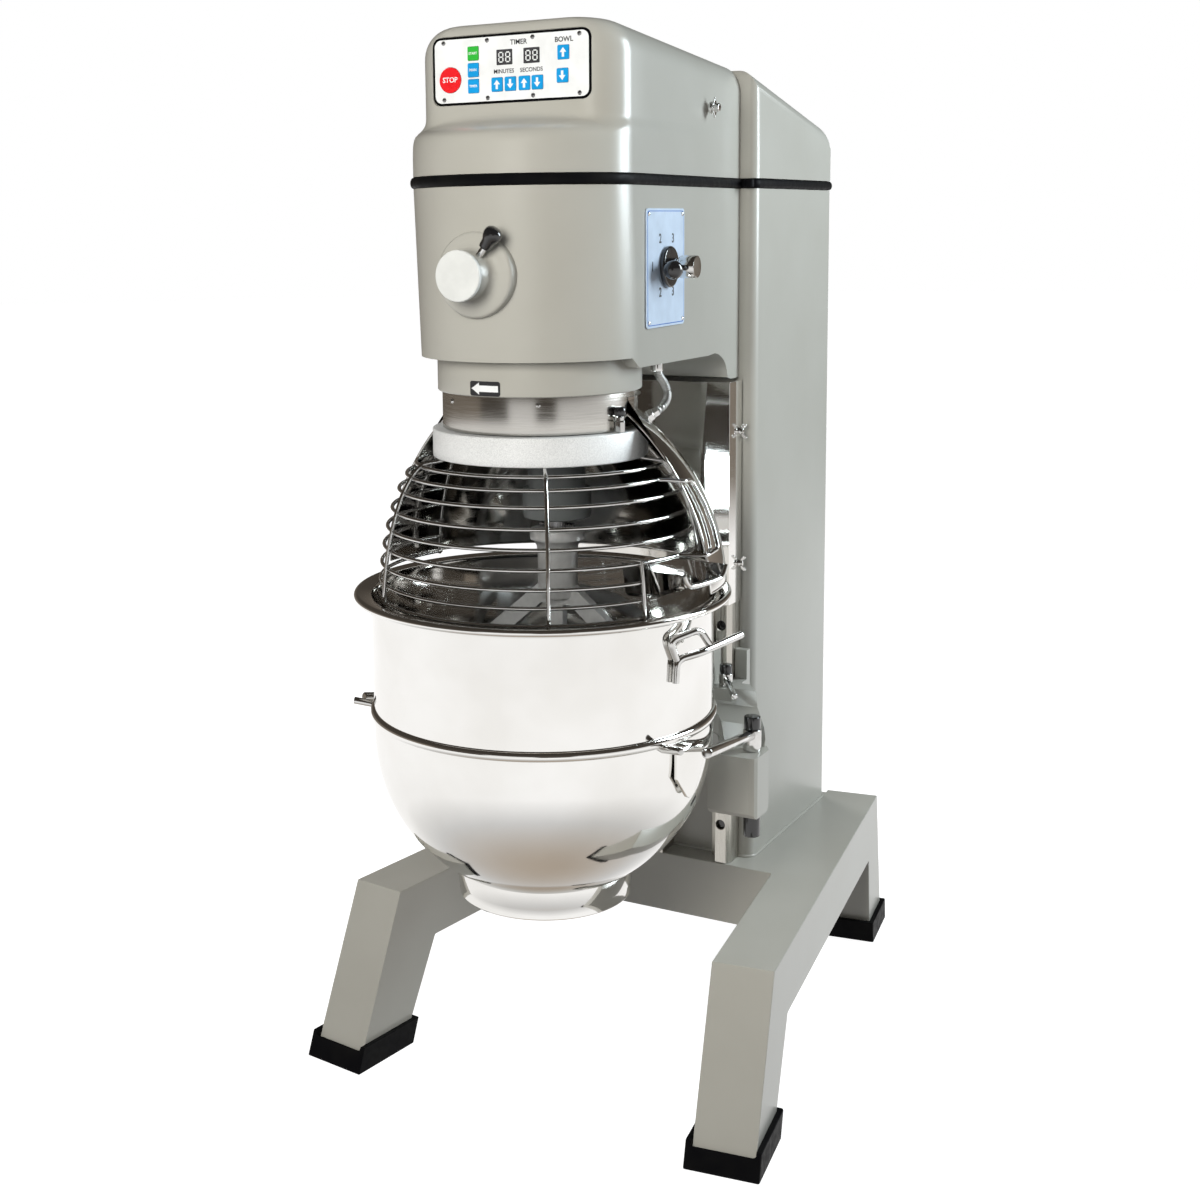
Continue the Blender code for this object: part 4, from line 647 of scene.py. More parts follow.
def make_light():
    """Softboxes for the paint, and a studio that polished metal mirrors: pale below, dark overhead."""
    for lamp in LAMPS:
        softbox(*lamp)
    world = bpy.data.worlds.new("studio")
    bpy.context.scene.world = world
    world.use_nodes = True
    tree = world.node_tree
    tree.nodes.clear()
    place = new_node(tree, "TexCoord")
    split = new_node(tree, "SeparateXYZ")
    height = new_node(tree, "MapRange", From_Min=-1.0)
    heading = new_node(tree, "Math")
    heading.operation = "ARCTAN2"
    turn = new_node(tree, "MapRange", From_Min=-pi, From_Max=pi)
    sky = filled_ramp(tree, SKY)
    walls = filled_ramp(tree, WALLS)
    horizon = filled_ramp(tree, HORIZON)
    blend = new_node(tree, "MixRGB")
    studio = new_node(tree, "Background")
    ambient = new_node(tree, "Background", Color=(AMBIENT, AMBIENT, AMBIENT, 1.0))
    plain = new_node(tree, "Background", Color=(1.0, 1.0, 1.0, 1.0))
    rays = new_node(tree, "LightPath")
    glossy = new_node(tree, "MixShader")
    seen = new_node(tree, "MixShader")
    out = new_node(tree, "OutputWorld")
    for start, end in (
        (place.outputs["Generated"], split.inputs["Vector"]),
        (split.outputs["Z"], height.inputs["Value"]),
        (split.outputs["Y"], heading.inputs[0]),
        (split.outputs["X"], heading.inputs[1]),
        (heading.outputs["Value"], turn.inputs["Value"]),
        (height.outputs["Result"], sky.inputs["Fac"]),
        (height.outputs["Result"], horizon.inputs["Fac"]),
        (turn.outputs["Result"], walls.inputs["Fac"]),
        (horizon.outputs["Color"], blend.inputs["Fac"]),
        (sky.outputs["Color"], blend.inputs["Color1"]),
        (walls.outputs["Color"], blend.inputs["Color2"]),
        (blend.outputs["Color"], studio.inputs["Color"]),
        (rays.outputs["Is Glossy Ray"], glossy.inputs["Fac"]),
        (ambient.outputs["Background"], glossy.inputs[1]),
        (studio.outputs["Background"], glossy.inputs[2]),
        (rays.outputs["Is Camera Ray"], seen.inputs["Fac"]),
        (glossy.outputs["Shader"], seen.inputs[1]),
        (plain.outputs["Background"], seen.inputs[2]),
        (seen.outputs["Shader"], out.inputs["Surface"]),
    ):
        tree.links.new(start, end)
    bpy.context.scene.view_settings.view_transform = "Standard"


# ---------------------------------------------------------------- base and column
def beam_point(along, across, z, side):
    x = BEAM_CORNER[0] - along * sin(BEAM_SPLAY) + across * cos(BEAM_SPLAY)
    y = BEAM_CORNER[1] + along * cos(BEAM_SPLAY) + across * sin(BEAM_SPLAY)
    return (side * x, y, z)


def beam(side):
    outline = (
        (0.0, BASE_TOP), (-0.107, LEG_BOTTOM), (0.008, LEG_BOTTOM), (0.087, BASE_UNDERSIDE),
        (0.74, BASE_UNDERSIDE), (0.76, LEG_BOTTOM), (0.87, LEG_BOTTOM), (BEAM_LENGTH, BASE_TOP))
    return loft("beam", [[beam_point(s, v, z, side) for s, z in outline] for v in (0.0, BEAM_WIDTH)])


def make_base():
    front = beam_point((CROSS_FRONT - BEAM_CORNER[1]) / cos(BEAM_SPLAY), 0.02, 0, 1)[0]
    rear = beam_point((CROSS_REAR - BEAM_CORNER[1]) / cos(BEAM_SPLAY), 0.02, 0, 1)[0]
    outline = ((-front, CROSS_FRONT), (front, CROSS_FRONT), (rear, CROSS_REAR), (-rear, CROSS_REAR))
    base = union(beam(1), prism("cross_member", outline, BASE_UNDERSIDE, BASE_TOP), beam(-1))
    base.name = "base_weldment"
    mount(base, "body_paint", "stand", "base_frame", soft=0.0055, segments=4)
    for end in ("front", "rear"):
        for side in ("right", "left"):
            dress_node(f"foot_{end}_{side}", "rubber", 0.0035)


def dress_node(name, look, soft=0.0):
    """A CAD node that shows as it is, with its finish and softened edges."""
    node = frame["nodes"][name]
    node.data.materials.clear()
    node.data.materials.append(LOOKS[look])
    if soft:
        weld = node.modifiers.new("one_skin", "WELD")
        weld.merge_threshold = 0.00002
        soften(node, soft, 2)
    return node


def column_outline(inset, radius=COLUMN_CORNER):
    half = COLUMN_HALF_WIDTH - inset
    return rounded_rectangle(-half, half, COLUMN_FRONT + inset, COLUMN_REAR - inset, radius, 8)


def make_column():
    column = prism("column_box", column_outline(0.0), BASE_TOP + 0.0003, SEAM_LOW - 0.0003)
    hollow = prism(
        "hollow", column_outline(COLUMN_SHEET, COLUMN_CORNER - COLUMN_SHEET), BASE_TOP - 0.01,
        SEAM_LOW + 0.01)
    passage = box("passage", (-0.11, COLUMN_FRONT - 0.02, 1.18), (0.11, COLUMN_FRONT + 0.02, 1.38))
    service = box("service", (-0.13, COLUMN_REAR - 0.02, 0.42), (0.13, COLUMN_REAR + 0.02, 1.3))
    cut(column, hollow, passage, service)
    mount(column, "body_paint", "stand", "column")
    bead = curve_wires(
        "column_weld", [[(x, y, BASE_TOP + 0.0012) for x, y in column_outline(-0.0006)]], 0.0028, True)
    mount(bead, "body_paint", "stand")


def column_cover_solid(inset, low):
    front = COLUMN_FRONT + 0.0005 + inset
    rear = COLUMN_REAR + 0.004 - inset
    slope = tan(radians(11.5))
    top = 1.598 - inset
    knee_top = top - (0.7 - COLUMN_FRONT) * slope
    rear_top = 1.485 - inset
    outline = [(front, low), (rear, low), (rear, rear_top - 0.03)]
    outline += corner(rear - 0.03, rear_top - 0.03, 0.03, 0, 75, 6, first=1)
    outline += [(0.752, knee_top - 0.0235), (0.7, knee_top), (0.6, top - (0.6 - COLUMN_FRONT) * slope)]
    edge = 0.014
    outline += corner(front + edge, top - edge, edge, 80, 180, 6)
    sides = side_prism("sides", outline, -0.2, 0.2)
    half = COLUMN_HALF_WIDTH + 0.001 - inset
    sections = []
    for y, high in ((front - 0.01, top + 0.002), (rear + 0.01, rear_top + 0.03)):
        radius = 0.038
        rise = [(half, low - 0.01)] + corner(half - radius, high - radius, radius, 0, 90, 12)
        rise += [(-x, z) for x, z in reversed(rise)]
        sections.append([(x, y, z) for x, z in rise])
    plan = prism("plan", column_outline(inset - 0.0009), low - 0.01, 1.7)
    return common(sides, loft("arch", sections), plan)


def make_column_cover():
    cover = column_cover_solid(0.0, SEAM_HIGH + 0.0003)
    cut(cover, column_cover_solid(COLUMN_SHEET, SEAM_HIGH - 0.01))
    cover.name = "column_lid"
    mount(cover, "body_paint", "stand", "column_cover", angle=28)


# ---------------------------------------------------------------- head
def head_outline(taper, inset=0.0):
    """Plan of the head, a drum that blends into the neck; taper is 0 at the seam and 1 at the floor."""
    steps = 26
    radius = DRUM_RADIUS - DRUM_DRAFT * taper - inset
    turn = radians(62 + 4 * taper)
    blend = 0.1 + 0.04 * taper
    half = []
    for k in range(steps + 1):
        a = turn * k / steps
        half.append((radius * sin(a), -radius * cos(a)))
    x, y = half[-1]
    wall = radians(93)
    for k in range(1, 13):
        a = turn + (wall - turn) * k / 12
        half.append(
            (x + blend * (sin(a) - sin(turn)), y + blend * (cos(turn) - cos(a))))
    half += straight(half[-1], (NECK_HALF_WIDTH - 0.001 * taper - inset, HEAD_REAR))
    return mirrored(half)


def head_prism(name, low, high):
    sections = []
    for z in (low, high):
        taper = min(1.0, (SEAM_LOW - z) / (SEAM_LOW - DRUM_FLOOR))
        sections.append([(x, y, z) for x, y in head_outline(taper)])
    return loft(name, sections)


def make_housing():
    profile = [
        (-0.25, SEAM_LOW - 0.0003), (-0.25, DRUM_FLOOR), (-0.034, DRUM_FLOOR),
        (-0.013, NECK_UNDERSIDE + 0.002)]
    profile.append((0.27, NECK_UNDERSIDE - 0.002))
    profile += corner(0.29, NECK_FOOT + 0.004, 0.07, 90, 0, 12, 0.044, 1)
    profile += [(0.375, NECK_FOOT), (0.45, NECK_FOOT), (0.45, SEAM_LOW - 0.0003)]
    housing = common(
        head_prism("gear_case", NECK_FOOT - 0.01, SEAM_LOW - 0.0003),
        side_prism("view", profile, -0.25, 0.25))
    cut(housing, turned("seat", [(0.0, 1.1), (0.1385, 1.1), (0.1385, 1.142), (0.0, 1.142)]))
    mount(housing, "body_paint", "stand", "gear_housing", soft=0.0045, segments=4)
    collar = turned(
        "drive_collar", rounded_disc(COLLAR_RADIUS, COLLAR_LOW, DRUM_FLOOR + 0.004, 0.0025, 0.139), 128)
    mount(collar, "body_paint", "stand")
    front = (0.0, -0.165, HUB_Z)
    flange = [(0.02, 0.0), (0.06, 0.0), (0.06, 0.017), (0.059, 0.0195), (0.056, 0.0212)]
    flange += [(0.048, 0.0225), (0.0395, 0.0245), (0.0355, 0.029), (0.034, 0.035)]
    flange += [(0.0335, 0.055), (0.033, 0.056), (0.02, 0.056)]
    mount(turned("attachment_hub", flange, 128, front, (0.0, -1.0, 0.0)), "body_paint", "stand")


def hood_outline():
    half = [((HOOD_HALF_WIDTH - HOOD_CORNER) * k / 26, HOOD_FRONT) for k in range(27)]
    middle = (HOOD_HALF_WIDTH - HOOD_CORNER, HOOD_FRONT + HOOD_CORNER)
    half += corner(*middle, HOOD_CORNER, 90, 0, 12, -HOOD_CORNER, 1)
    half += straight(half[-1], (NECK_HALF_WIDTH, HEAD_REAR))
    return mirrored(half)


def make_hood():
    """The head cover: a drum at the seam that steps back over a rounded ledge into the hood."""
    drum = head_outline(0.0, 0.0)
    hood = hood_outline()
    low = SEAM_HIGH + 0.0003
    ledge = (
        (0.0, low), (0.0, 1.445), (0.002, 1.4555), (0.008, 1.4635), (0.02, 1.4705), (0.045, 1.4765),
        (0.09, 1.4815), (0.2, 1.4865), (0.4, 1.4905), (0.62, 1.4945), (0.8, 1.498), (0.9, 1.501),
        (0.955, 1.5045), (0.985, 1.5095), (1.0, 1.517))
    sections = []
    for share, z in ledge:
        sections.append(
            [(a[0] + (b[0] - a[0]) * share, a[1] + (b[1] - a[1]) * share, z) for a, b in zip(drum, hood)])

    def top(y):
        return HOOD_TOP - HOOD_SLOPE * (y - HOOD_FRONT)

    for k in range(13):
        a = radians(90 * k / 12)
        inward = HOOD_SHOULDER * (1 - cos(a))
        forward = 0.02 * (1 - cos(a)) ** 1.3
        section = []
        for x, y in hood:
            half = HOOD_HALF_WIDTH
            share = max(0.0, min(1.0, -y / 0.08))
            yy = y + forward * share
            section.append((x * (half - inward) / half, yy, top(yy) - HOOD_SHOULDER * (1 - sin(a))))
        sections.append(section)
    cover = loft("hood", sections)
    inner = loft(
        "inner",
        [
            [(x * 0.965, y + 0.006 * (1 if y < 0 else -1), low - 0.02 + 0.17 * i) for x, y in hood]
            for i in range(2)])
    cut(cover, inner)
    cut(cover, front_plate("recess", panel_outline(0.0042, 0.0135), HOOD_FRONT - 0.02, PANEL_FACE + 0.002))
    mount(cover, "body_paint", "stand", "head_cover", angle=34)


def make_seam_trim():
    """A rubber bead pressed into the joint round the head and the column."""
    middle = (SEAM_LOW + SEAM_HIGH) / 2
    half = (SEAM_HIGH - SEAM_LOW) / 2 - 0.0003
    rows = corner(0.0004, middle, 0.0042, -90, 90, 8, half)
    head = loft("seam_bead", [[(x, y, z) for x, y in head_outline(0.0, -out)] for out, z in rows])
    back = loft("back", [[(x, y, z) for x, y in column_outline(-out + 0.001)] for out, z in rows])
    mount(join(head, back), "rubber", "stand", "seam_trim")
    plug = cylinder(
        "trim_corner", (0.166, 0.4085, SEAM_LOW + 0.0015), (0.166, 0.4085, SEAM_HIGH - 0.0015), 0.0085, 24,
        0.002)
    mount(plug, "rubber", "stand")


# ---------------------------------------------------------------- control panel
KEYS = [name for name, slot in SLOTS.items() if slot.startswith("key_")]
KEY_FACE = PANEL_FACE - 0.0012


def key_box(name):
    """The middle and the half size of a key, across and up."""
    low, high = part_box(name)
    return (low[0] + high[0]) / 2, (low[2] + high[2]) / 2, (high[0] - low[0]) / 2, (high[2] - low[2]) / 2


def words(name, text, size, place, turn, detail):
    """Thin raised letters, centred on a place; turn carries them from the XY plane to their wall."""
    data = bpy.data.curves.new(name, "FONT")
    data.body = text
    data.size = size
    data.align_x = "CENTER"
    data.align_y = "CENTER"
    data.extrude = PRINT_THICKNESS
    data.offset = size * LETTER_WEIGHT
    data.resolution_u = detail
    source = link(name + "_source", data)
    graph = bpy.context.evaluated_depsgraph_get()
    mesh = bpy.data.meshes.new_from_object(source.evaluated_get(graph))
    bpy.data.objects.remove(source, do_unlink=True)
    mesh.transform(Matrix.Translation(place) @ turn)
    return link(name, mesh)


def arrow_plate(name, x, z, size, up, face, body):
    sign = 1 if up else -1
    points = ((-0.14, -0.5), (0.14, -0.5), (0.14, 0.0), (0.4, 0.0), (0.0, 0.5), (-0.4, 0.0), (-0.14, 0.0))
    outline = [(x + u * size, z + sign * v * size) for u, v in points]
    arrow = front_plate(name, outline, face - 0.00012, face)
    return mount(arrow, "print_white", body, slot="key_blue")


def make_keys():
    legends = {
        "stop_button": ("STOP", 0.0105),
        "start_key": ("START", 0.0048),
        "manual_key": ("MAN", 0.0054),
        "timer_key": ("TIMER", 0.0048),
    }
    for name in KEYS:
        x, z, across, up = key_box(name)
        slot = SLOTS[name]
        body = name + "_body"
        if name == "stop_button":
            key = cylinder("stop_pad", (x, KEY_FACE + 0.006, z), (x, KEY_FACE, z), across, 64, 0.0006)
        else:
            outline = rounded_rectangle(x - across, x + across, z - up, z + up, 0.0016, 4)
            key = front_plate(name + "_pad", outline, KEY_FACE, KEY_FACE + 0.006)
        mount(key, slot, body, name, soft=0.0003, segments=2)
        face = KEY_FACE - PRINT_STAND
        if name in legends:
            text, size = legends[name]
            legend = words(name + "_legend", text, size, (x, face, z), FRONT_TURN, 3)
            mount(legend, "print_white", body, slot=slot)
        else:
            arrow_plate(name + "_arrow", x, z, 0.013, "up" in name, face, body)


SEGMENTS = {
    "a": (0, 1, 1), "b": (1, 0.5, 0), "c": (1, -0.5, 0), "d": (0, -1, 1), "e": (-1, -0.5, 0),
    "f": (-1, 0.5, 0), "g": (0, 0, 1)
}


def make_display(name, x, z):
    face = PANEL_FACE - 0.0003
    outline = rounded_rectangle(x - 0.013, x + 0.013, z - 0.01075, z + 0.01075, 0.001, 3)
    window = front_plate(name + "_window", outline, face, face + 0.002)
    mount(window, "display", "stand", slot="panel_white")
    bars = []
    for digit in (-0.0056, 0.0056):
        for u, v, flat in SEGMENTS.values():
            cx, cz = x + digit + u * 0.0033, z + v * 0.0066
            w, h = (0.0024, 0.0008) if flat else (0.0008, 0.0025)
            shape = ((cx - w, cz - h), (cx + w, cz - h), (cx + w, cz + h), (cx - w, cz + h))
            bars.append(front_plate(name + "_bar", shape, face - 0.0001, face + 0.0002))
    digits = join(bars[0], *bars[1:])
    digits.name = name + "_digits"
    mount(digits, "segment", "stand", slot="panel_white")


def screw_head(name, place, out, radius, look="chrome"):
    """A domed screw head with a cross slot, standing on a surface."""
    place = Vector(place)
    out = Vector(out).normalized()
    profile = [
        (0.0, 0.0), (radius, 0.0), (radius * 0.97, radius * 0.22), (radius * 0.75, radius * 0.45),
        (radius * 0.4, radius * 0.58), (0.0, radius * 0.62)]
    head = turned(name, profile, 20, place, out)
    turn = UP.rotation_difference(out).to_matrix().to_4x4()
    for long_x, long_y in ((0.66, 0.12), (0.12, 0.66)):
        slot_cut = box(
            "slot", (-radius * long_x, -radius * long_y, radius * 0.3),
            (radius * long_x, radius * long_y, radius * 1.2))
        slot_cut.data.transform(Matrix.Translation(place) @ turn)
        cut(head, slot_cut)
    return mount(head, look, "stand", slot="chrome")


def panel_outline(grow, radius):
    half = PANEL_HALF_WIDTH + grow
    return rounded_rectangle(-half, half, PANEL_LOW - grow, PANEL_HIGH + grow, radius)


def make_panel():
    gasket = front_plate(
        "panel_gasket", panel_outline(0.0034, 0.013), PANEL_FACE + 0.0003, PANEL_FACE + 0.0018)
    mount(gasket, "rubber", "stand")
    plate = front_plate("panel_face", panel_outline(0.0, 0.0105), PANEL_FACE, PANEL_FACE + 0.0015)
    for name in KEYS:
        x, z, across, up = key_box(name)
        front, back = PANEL_FACE - 0.01, PANEL_FACE + 0.01
        if name == "stop_button":
            hole = cylinder("hole", (x, back, z), (x, front, z), across + KEY_GAP, 64)
        else:
            across += KEY_GAP
            up += KEY_GAP
            hole = front_plate(
                "hole", rounded_rectangle(x - across, x + across, z - up, z + up, 0.0018, 4), front, back)
        cut(plate, hole)
    mount(plate, "panel_white", "stand", "control_panel")
    make_keys()
    make_display("minutes_display", -0.0089, 1.5885)
    make_display("seconds_display", 0.0352, 1.5885)
    for text, size, x, z in (
        ("TIMER", 0.01, 0.0143, 1.608),
        ("MINUTES", 0.0082, -0.0101, 1.5688),
        ("SECONDS", 0.0082, 0.0347, 1.5688),
        ("BOWL", 0.01, 0.0867, 1.607),
    ):
        place = (x, PANEL_FACE - PRINT_STAND, z)
        legend = words(text.lower() + "_legend", text, size, place, FRONT_TURN, 3)
        mount(legend, "print_black", "stand", slot="panel_white")
    for row, z in (("top", 1.6135), ("bottom", 1.5333)):
        for number, x in enumerate((-0.1103, -0.0372, 0.037, 0.111)):
            name = f"panel_screw_{row}_{number + 1}"
            screw_head(name, (x, PANEL_FACE, z), (0, -1, 0), 0.0033, "gear_steel")


# ---------------------------------------------------------------- attachment hub, speed selector, labels
def make_hub():
    cap = rounded_disc(HUB_RADIUS, 0.0, HUB_CAP_THICKNESS, 0.0022, 0.0, 6)
    plug = turned("hub_cap", cap, 96, (0.0, HUB_FACE + HUB_CAP_THICKNESS, HUB_Z), (0, -1, 0))
    mount(plug, "white_plastic", "hub_cap", "hub_plug")
    centre = Vector((0.0, -0.205, HUB_Z))
    stem = turned(
        "thumbscrew_stem", rounded_disc(0.0048, 0.0, 0.026, 0.0006), 24, centre + THUMB_OUT * 0.026,
        THUMB_OUT)
    mount(stem, "chrome", "hub_screw")
    knob = [(0.0, 0.0), (0.0075, 0.0), (0.0085, 0.003), (0.009, 0.01), (0.0118, 0.016), (0.013, 0.021),
            (0.0128, 0.0255), (0.0108, 0.0295), (0.007, 0.032), (0.0, 0.033)]
    grip = turned("thumbscrew_knob", knob, 48, centre + THUMB_OUT * 0.048, THUMB_OUT)
    mount(grip, "black_plastic", "hub_screw", "hub_thumbscrew")


def wall_spot(back, up, stand):
    return SELECTOR + WALL_BACK * back + UP * up + WALL_OUT * stand


def wall_sheet(name, inset, low, high):
    """A sheet shaped like the speed plate, smaller by an inset, between two heights off the wall."""
    back_from, back_to, up_from, up_to = PLATE
    outline = rounded_rectangle(back_from + inset, back_to - inset, up_from + inset, up_to - inset, 0.006)
    return loft(name, [[wall_spot(b, u, stand) for b, u in outline] for stand in (low, high)])


def make_selector():
    plate = wall_sheet("speed_plate", 0.0, 0.001, 0.0026)
    mount(plate, "plate_field", "stand", "gear_plate", slot="panel_white")
    for name, look, inset, stand in (
        ("line", "print_blue", 0.0032, 0.0028), ("field", "plate_field", 0.0044, 0.0029)
    ):
        mount(wall_sheet("speed_plate_" + name, inset, 0.0012, stand), look, "stand", slot="panel_white")
    for number, text, back, up in (
        (1, "1", -0.056, 0.001), (2, "2", -0.026, 0.041), (3, "3", 0.024, 0.041), (4, "2", -0.026, -0.037),
        (5, "3", 0.024, -0.037)
    ):
        figure = words(f"speed_number_{number}", text, 0.019, wall_spot(back, up, 0.003), WALL_TURN, 12)
        mount(figure, "print_black", "stand", slot="panel_white")
    for number, (back, up) in enumerate(
        ((-0.069, 0.077), (0.063, 0.077), (-0.069, -0.079), (0.063, -0.079))
    ):
        screw_head(f"speed_plate_screw_{number + 1}", wall_spot(back, up, 0.0026), WALL_OUT, 0.0034)
    disc = turned(
        "selector_disc", rounded_disc(0.0305, 0.0, 0.0078, 0.0025, 0.0), 72, wall_spot(0, 0, 0.0032),
        WALL_OUT)
    start = wall_spot(-0.018, -0.001, 0.009)
    end = wall_spot(-0.0455, -0.0045, 0.0355)
    axis = (end - start).normalized()
    grip = [(0.0, 0.0), (0.0068, 0.0), (0.0075, 0.006), (0.0105, 0.014), (0.0132, 0.022), (0.014, 0.0275),
            (0.013, 0.0325), (0.0095, 0.0362), (0.005, 0.0378), (0.0, 0.0382)]
    knob = turned("grip", grip, 48, start, axis)
    mount(join(disc, knob), "black_plastic", "selector", "speed_selector")
    barrel = [
        (0.0, 0.0), (0.0125, 0.0), (0.013, 0.0012), (0.013, 0.009), (0.0115, 0.0105), (0.0115, 0.0125),
        (0.0158, 0.014), (0.0168, 0.0155), (0.0168, 0.0378), (0.016, 0.0394), (0.014, 0.0398), (0.0, 0.0398)
    ]
    pull = turned("selector_pull_knob", barrel, 72, wall_spot(0, 0, 0.011), WALL_OUT)
    mount(pull, "chrome", "selector_pull", "selector_knob")


def curved_label(name, radius, from_azimuth, to_azimuth, low, high, look, slot, rounding=0.0):
    """A thin label wrapped round the mixing axis, with its corners rounded off."""
    sections = []
    steps = 40
    length = radius * radians(to_azimuth - from_azimuth)
    for k in range(steps + 1):
        share = (1 - cos(pi * k / steps)) / 2
        a = radians(from_azimuth + (to_azimuth - from_azimuth) * share)
        short = max(0.0, rounding - length * min(share, 1 - share))
        inset = rounding - sqrt(rounding**2 - short**2)
        edges = (
            (radius, low + inset), (radius + 0.0003, low + inset), (radius + 0.0003, high - inset),
            (radius, high - inset))
        sections.append([compass(r, a, z) for r, z in edges])
    return mount(loft(name, sections), look, "stand", slot=slot, angle=30)


def make_labels():
    ground = COLLAR_RADIUS + 0.0002
    curved_label(
        "arrow_label_ground", ground, -11.5, 7.5, 1.1135, 1.1345, "print_black", "black_plastic", 0.0035)
    curved_label(
        "arrow_label_bar", ground + 0.0002, -5.5, 6.3, 1.1195, 1.1285, "print_white", "panel_white")
    tip = []
    for r in (ground + 0.0002, ground + 0.0005):
        corners = ((-10.5, 1.124), (-5.4, 1.1155), (-5.4, 1.1325))
        tip.append([compass(r, radians(azimuth), z) for azimuth, z in corners])
    mount(loft("arrow_label_tip", tip), "print_white", "stand", slot="panel_white")


# ---------------------------------------------------------------- band, guard ring, planetary
def make_band_and_ring():
    band = turned(
        "neck_band", rounded_disc(BAND_RADIUS, BAND_LOW, COLLAR_LOW - 0.0003, 0.0006, BAND_RADIUS - 0.004),
        160)
    mount(band, "brushed_steel", "stand", "collar_band")
    for number, azimuth in enumerate((-92, -32, 28, 148)):
        a = radians(azimuth)
        screw_head(f"band_screw_{number + 1}", compass(BAND_RADIUS, a, 1.101), compass(1.0, a, 0.0), 0.0036)
    ring = turned(
        "cage_ring", rounded_disc(RING_RADIUS, RING_LOW, RING_HIGH, 0.0022, RING_RADIUS - RING_WALL), 160)
    mount(ring, "speckled", "guard", "guard_ring", slot="satin_aluminium")


def make_planetary():
    x, y = PLANET.x, PLANET.y
    mount(turned("carrier_plate", rounded_disc(0.126, 1.02, 1.04, 0.002), 96), "motor_grey", "planetary")
    profile = [
        (0.018, 0.905), (0.045, 0.905), (0.0515, 0.9075), (0.053, 0.913), (0.053, 0.948), (0.0515, 0.952),
        (0.044, 0.9535), (0.044, 1.021), (0.018, 1.021)]
    mount(turned("planet_boss", profile, 96, (x, y, 0.0)), "motor_grey", "planetary", "planetary_carrier")
    shaft = turned("beater_shaft", rounded_disc(0.016, 0.8, 1.015, 0.001), 48, (x, y, 0.0))
    mount(shaft, "gear_steel", "beater", "agitator_shaft")
    pin = cylinder("beater_pin", (x - 0.03, y, 0.8935), (x + 0.03, y, 0.8935), 0.0042, 16, 0.001)
    mount(pin, "gear_steel", "beater")


def make_agitator():
    """The flat beater: a flanged hub on a frame of flat bars."""
    x, y = PLANET.x, PLANET.y
    low = BEATER_LOW
    half = BEATER_HALF_WIDTH
    outline = corner(0.0, BEATER_MIDDLE, half, -90, 0, 24, BEATER_MIDDLE - low)
    outline += [(half, 0.64), (half - 0.003, 0.66), (0.15, 0.7), (0.03, 0.8)]
    outer = mirrored(outline)
    share = (half - BEATER_BAR) / half
    inner = [(u * share, BEATER_MIDDLE + (z - BEATER_MIDDLE) * 0.872) for u, z in outer]

    def plate(name, points, thick):
        return loft(name, [[(x + u, y + v, z) for u, z in points] for v in (-thick, thick)])

    beater = plate("flat_beater", outer, 0.009)
    cut(beater, plate("opening", inner, 0.02))
    union(beater, box("spine", (x - 0.012, y - 0.0075, low + 0.01), (x + 0.012, y + 0.0075, 0.8)))
    for level in (0.45, 0.53, 0.61):
        depth = (BEATER_MIDDLE - min(level, BEATER_MIDDLE)) / (BEATER_MIDDLE - low)
        reach = (half - 0.01) * sqrt(1 - depth**2)
        union(
            beater,
            box("rung", (x - reach, y - 0.006, level - 0.008), (x + reach, y + 0.006, level + 0.008)))
    mount(beater, "satin_aluminium", "beater", "agitator", soft=0.0028)
    profile = [
        (0.0165, 0.78), (0.0255, 0.78), (0.0285, 0.784), (0.031, 0.8), (0.031, 0.85), (0.0325, 0.862),
        (0.037, 0.868), (0.042, 0.872), (0.0425, 0.8745), (0.0425, 0.886), (0.041, 0.888), (0.0165, 0.888)]
    mount(turned("beater_hub", profile, 64, (x, y, 0.0)), "satin_aluminium", "beater")


# ---------------------------------------------------------------- bowl
def bowl_radius(z, wall=0.0):
    depth = BOWL_ROUND_TOP - BOWL_FOOT_HIGH + 0.012
    t = min(1.0, max(0.0, (BOWL_ROUND_TOP - z) / (depth - wall)))
    return (BOWL_RADIUS - wall) * (1 - t**2.15) ** 0.5


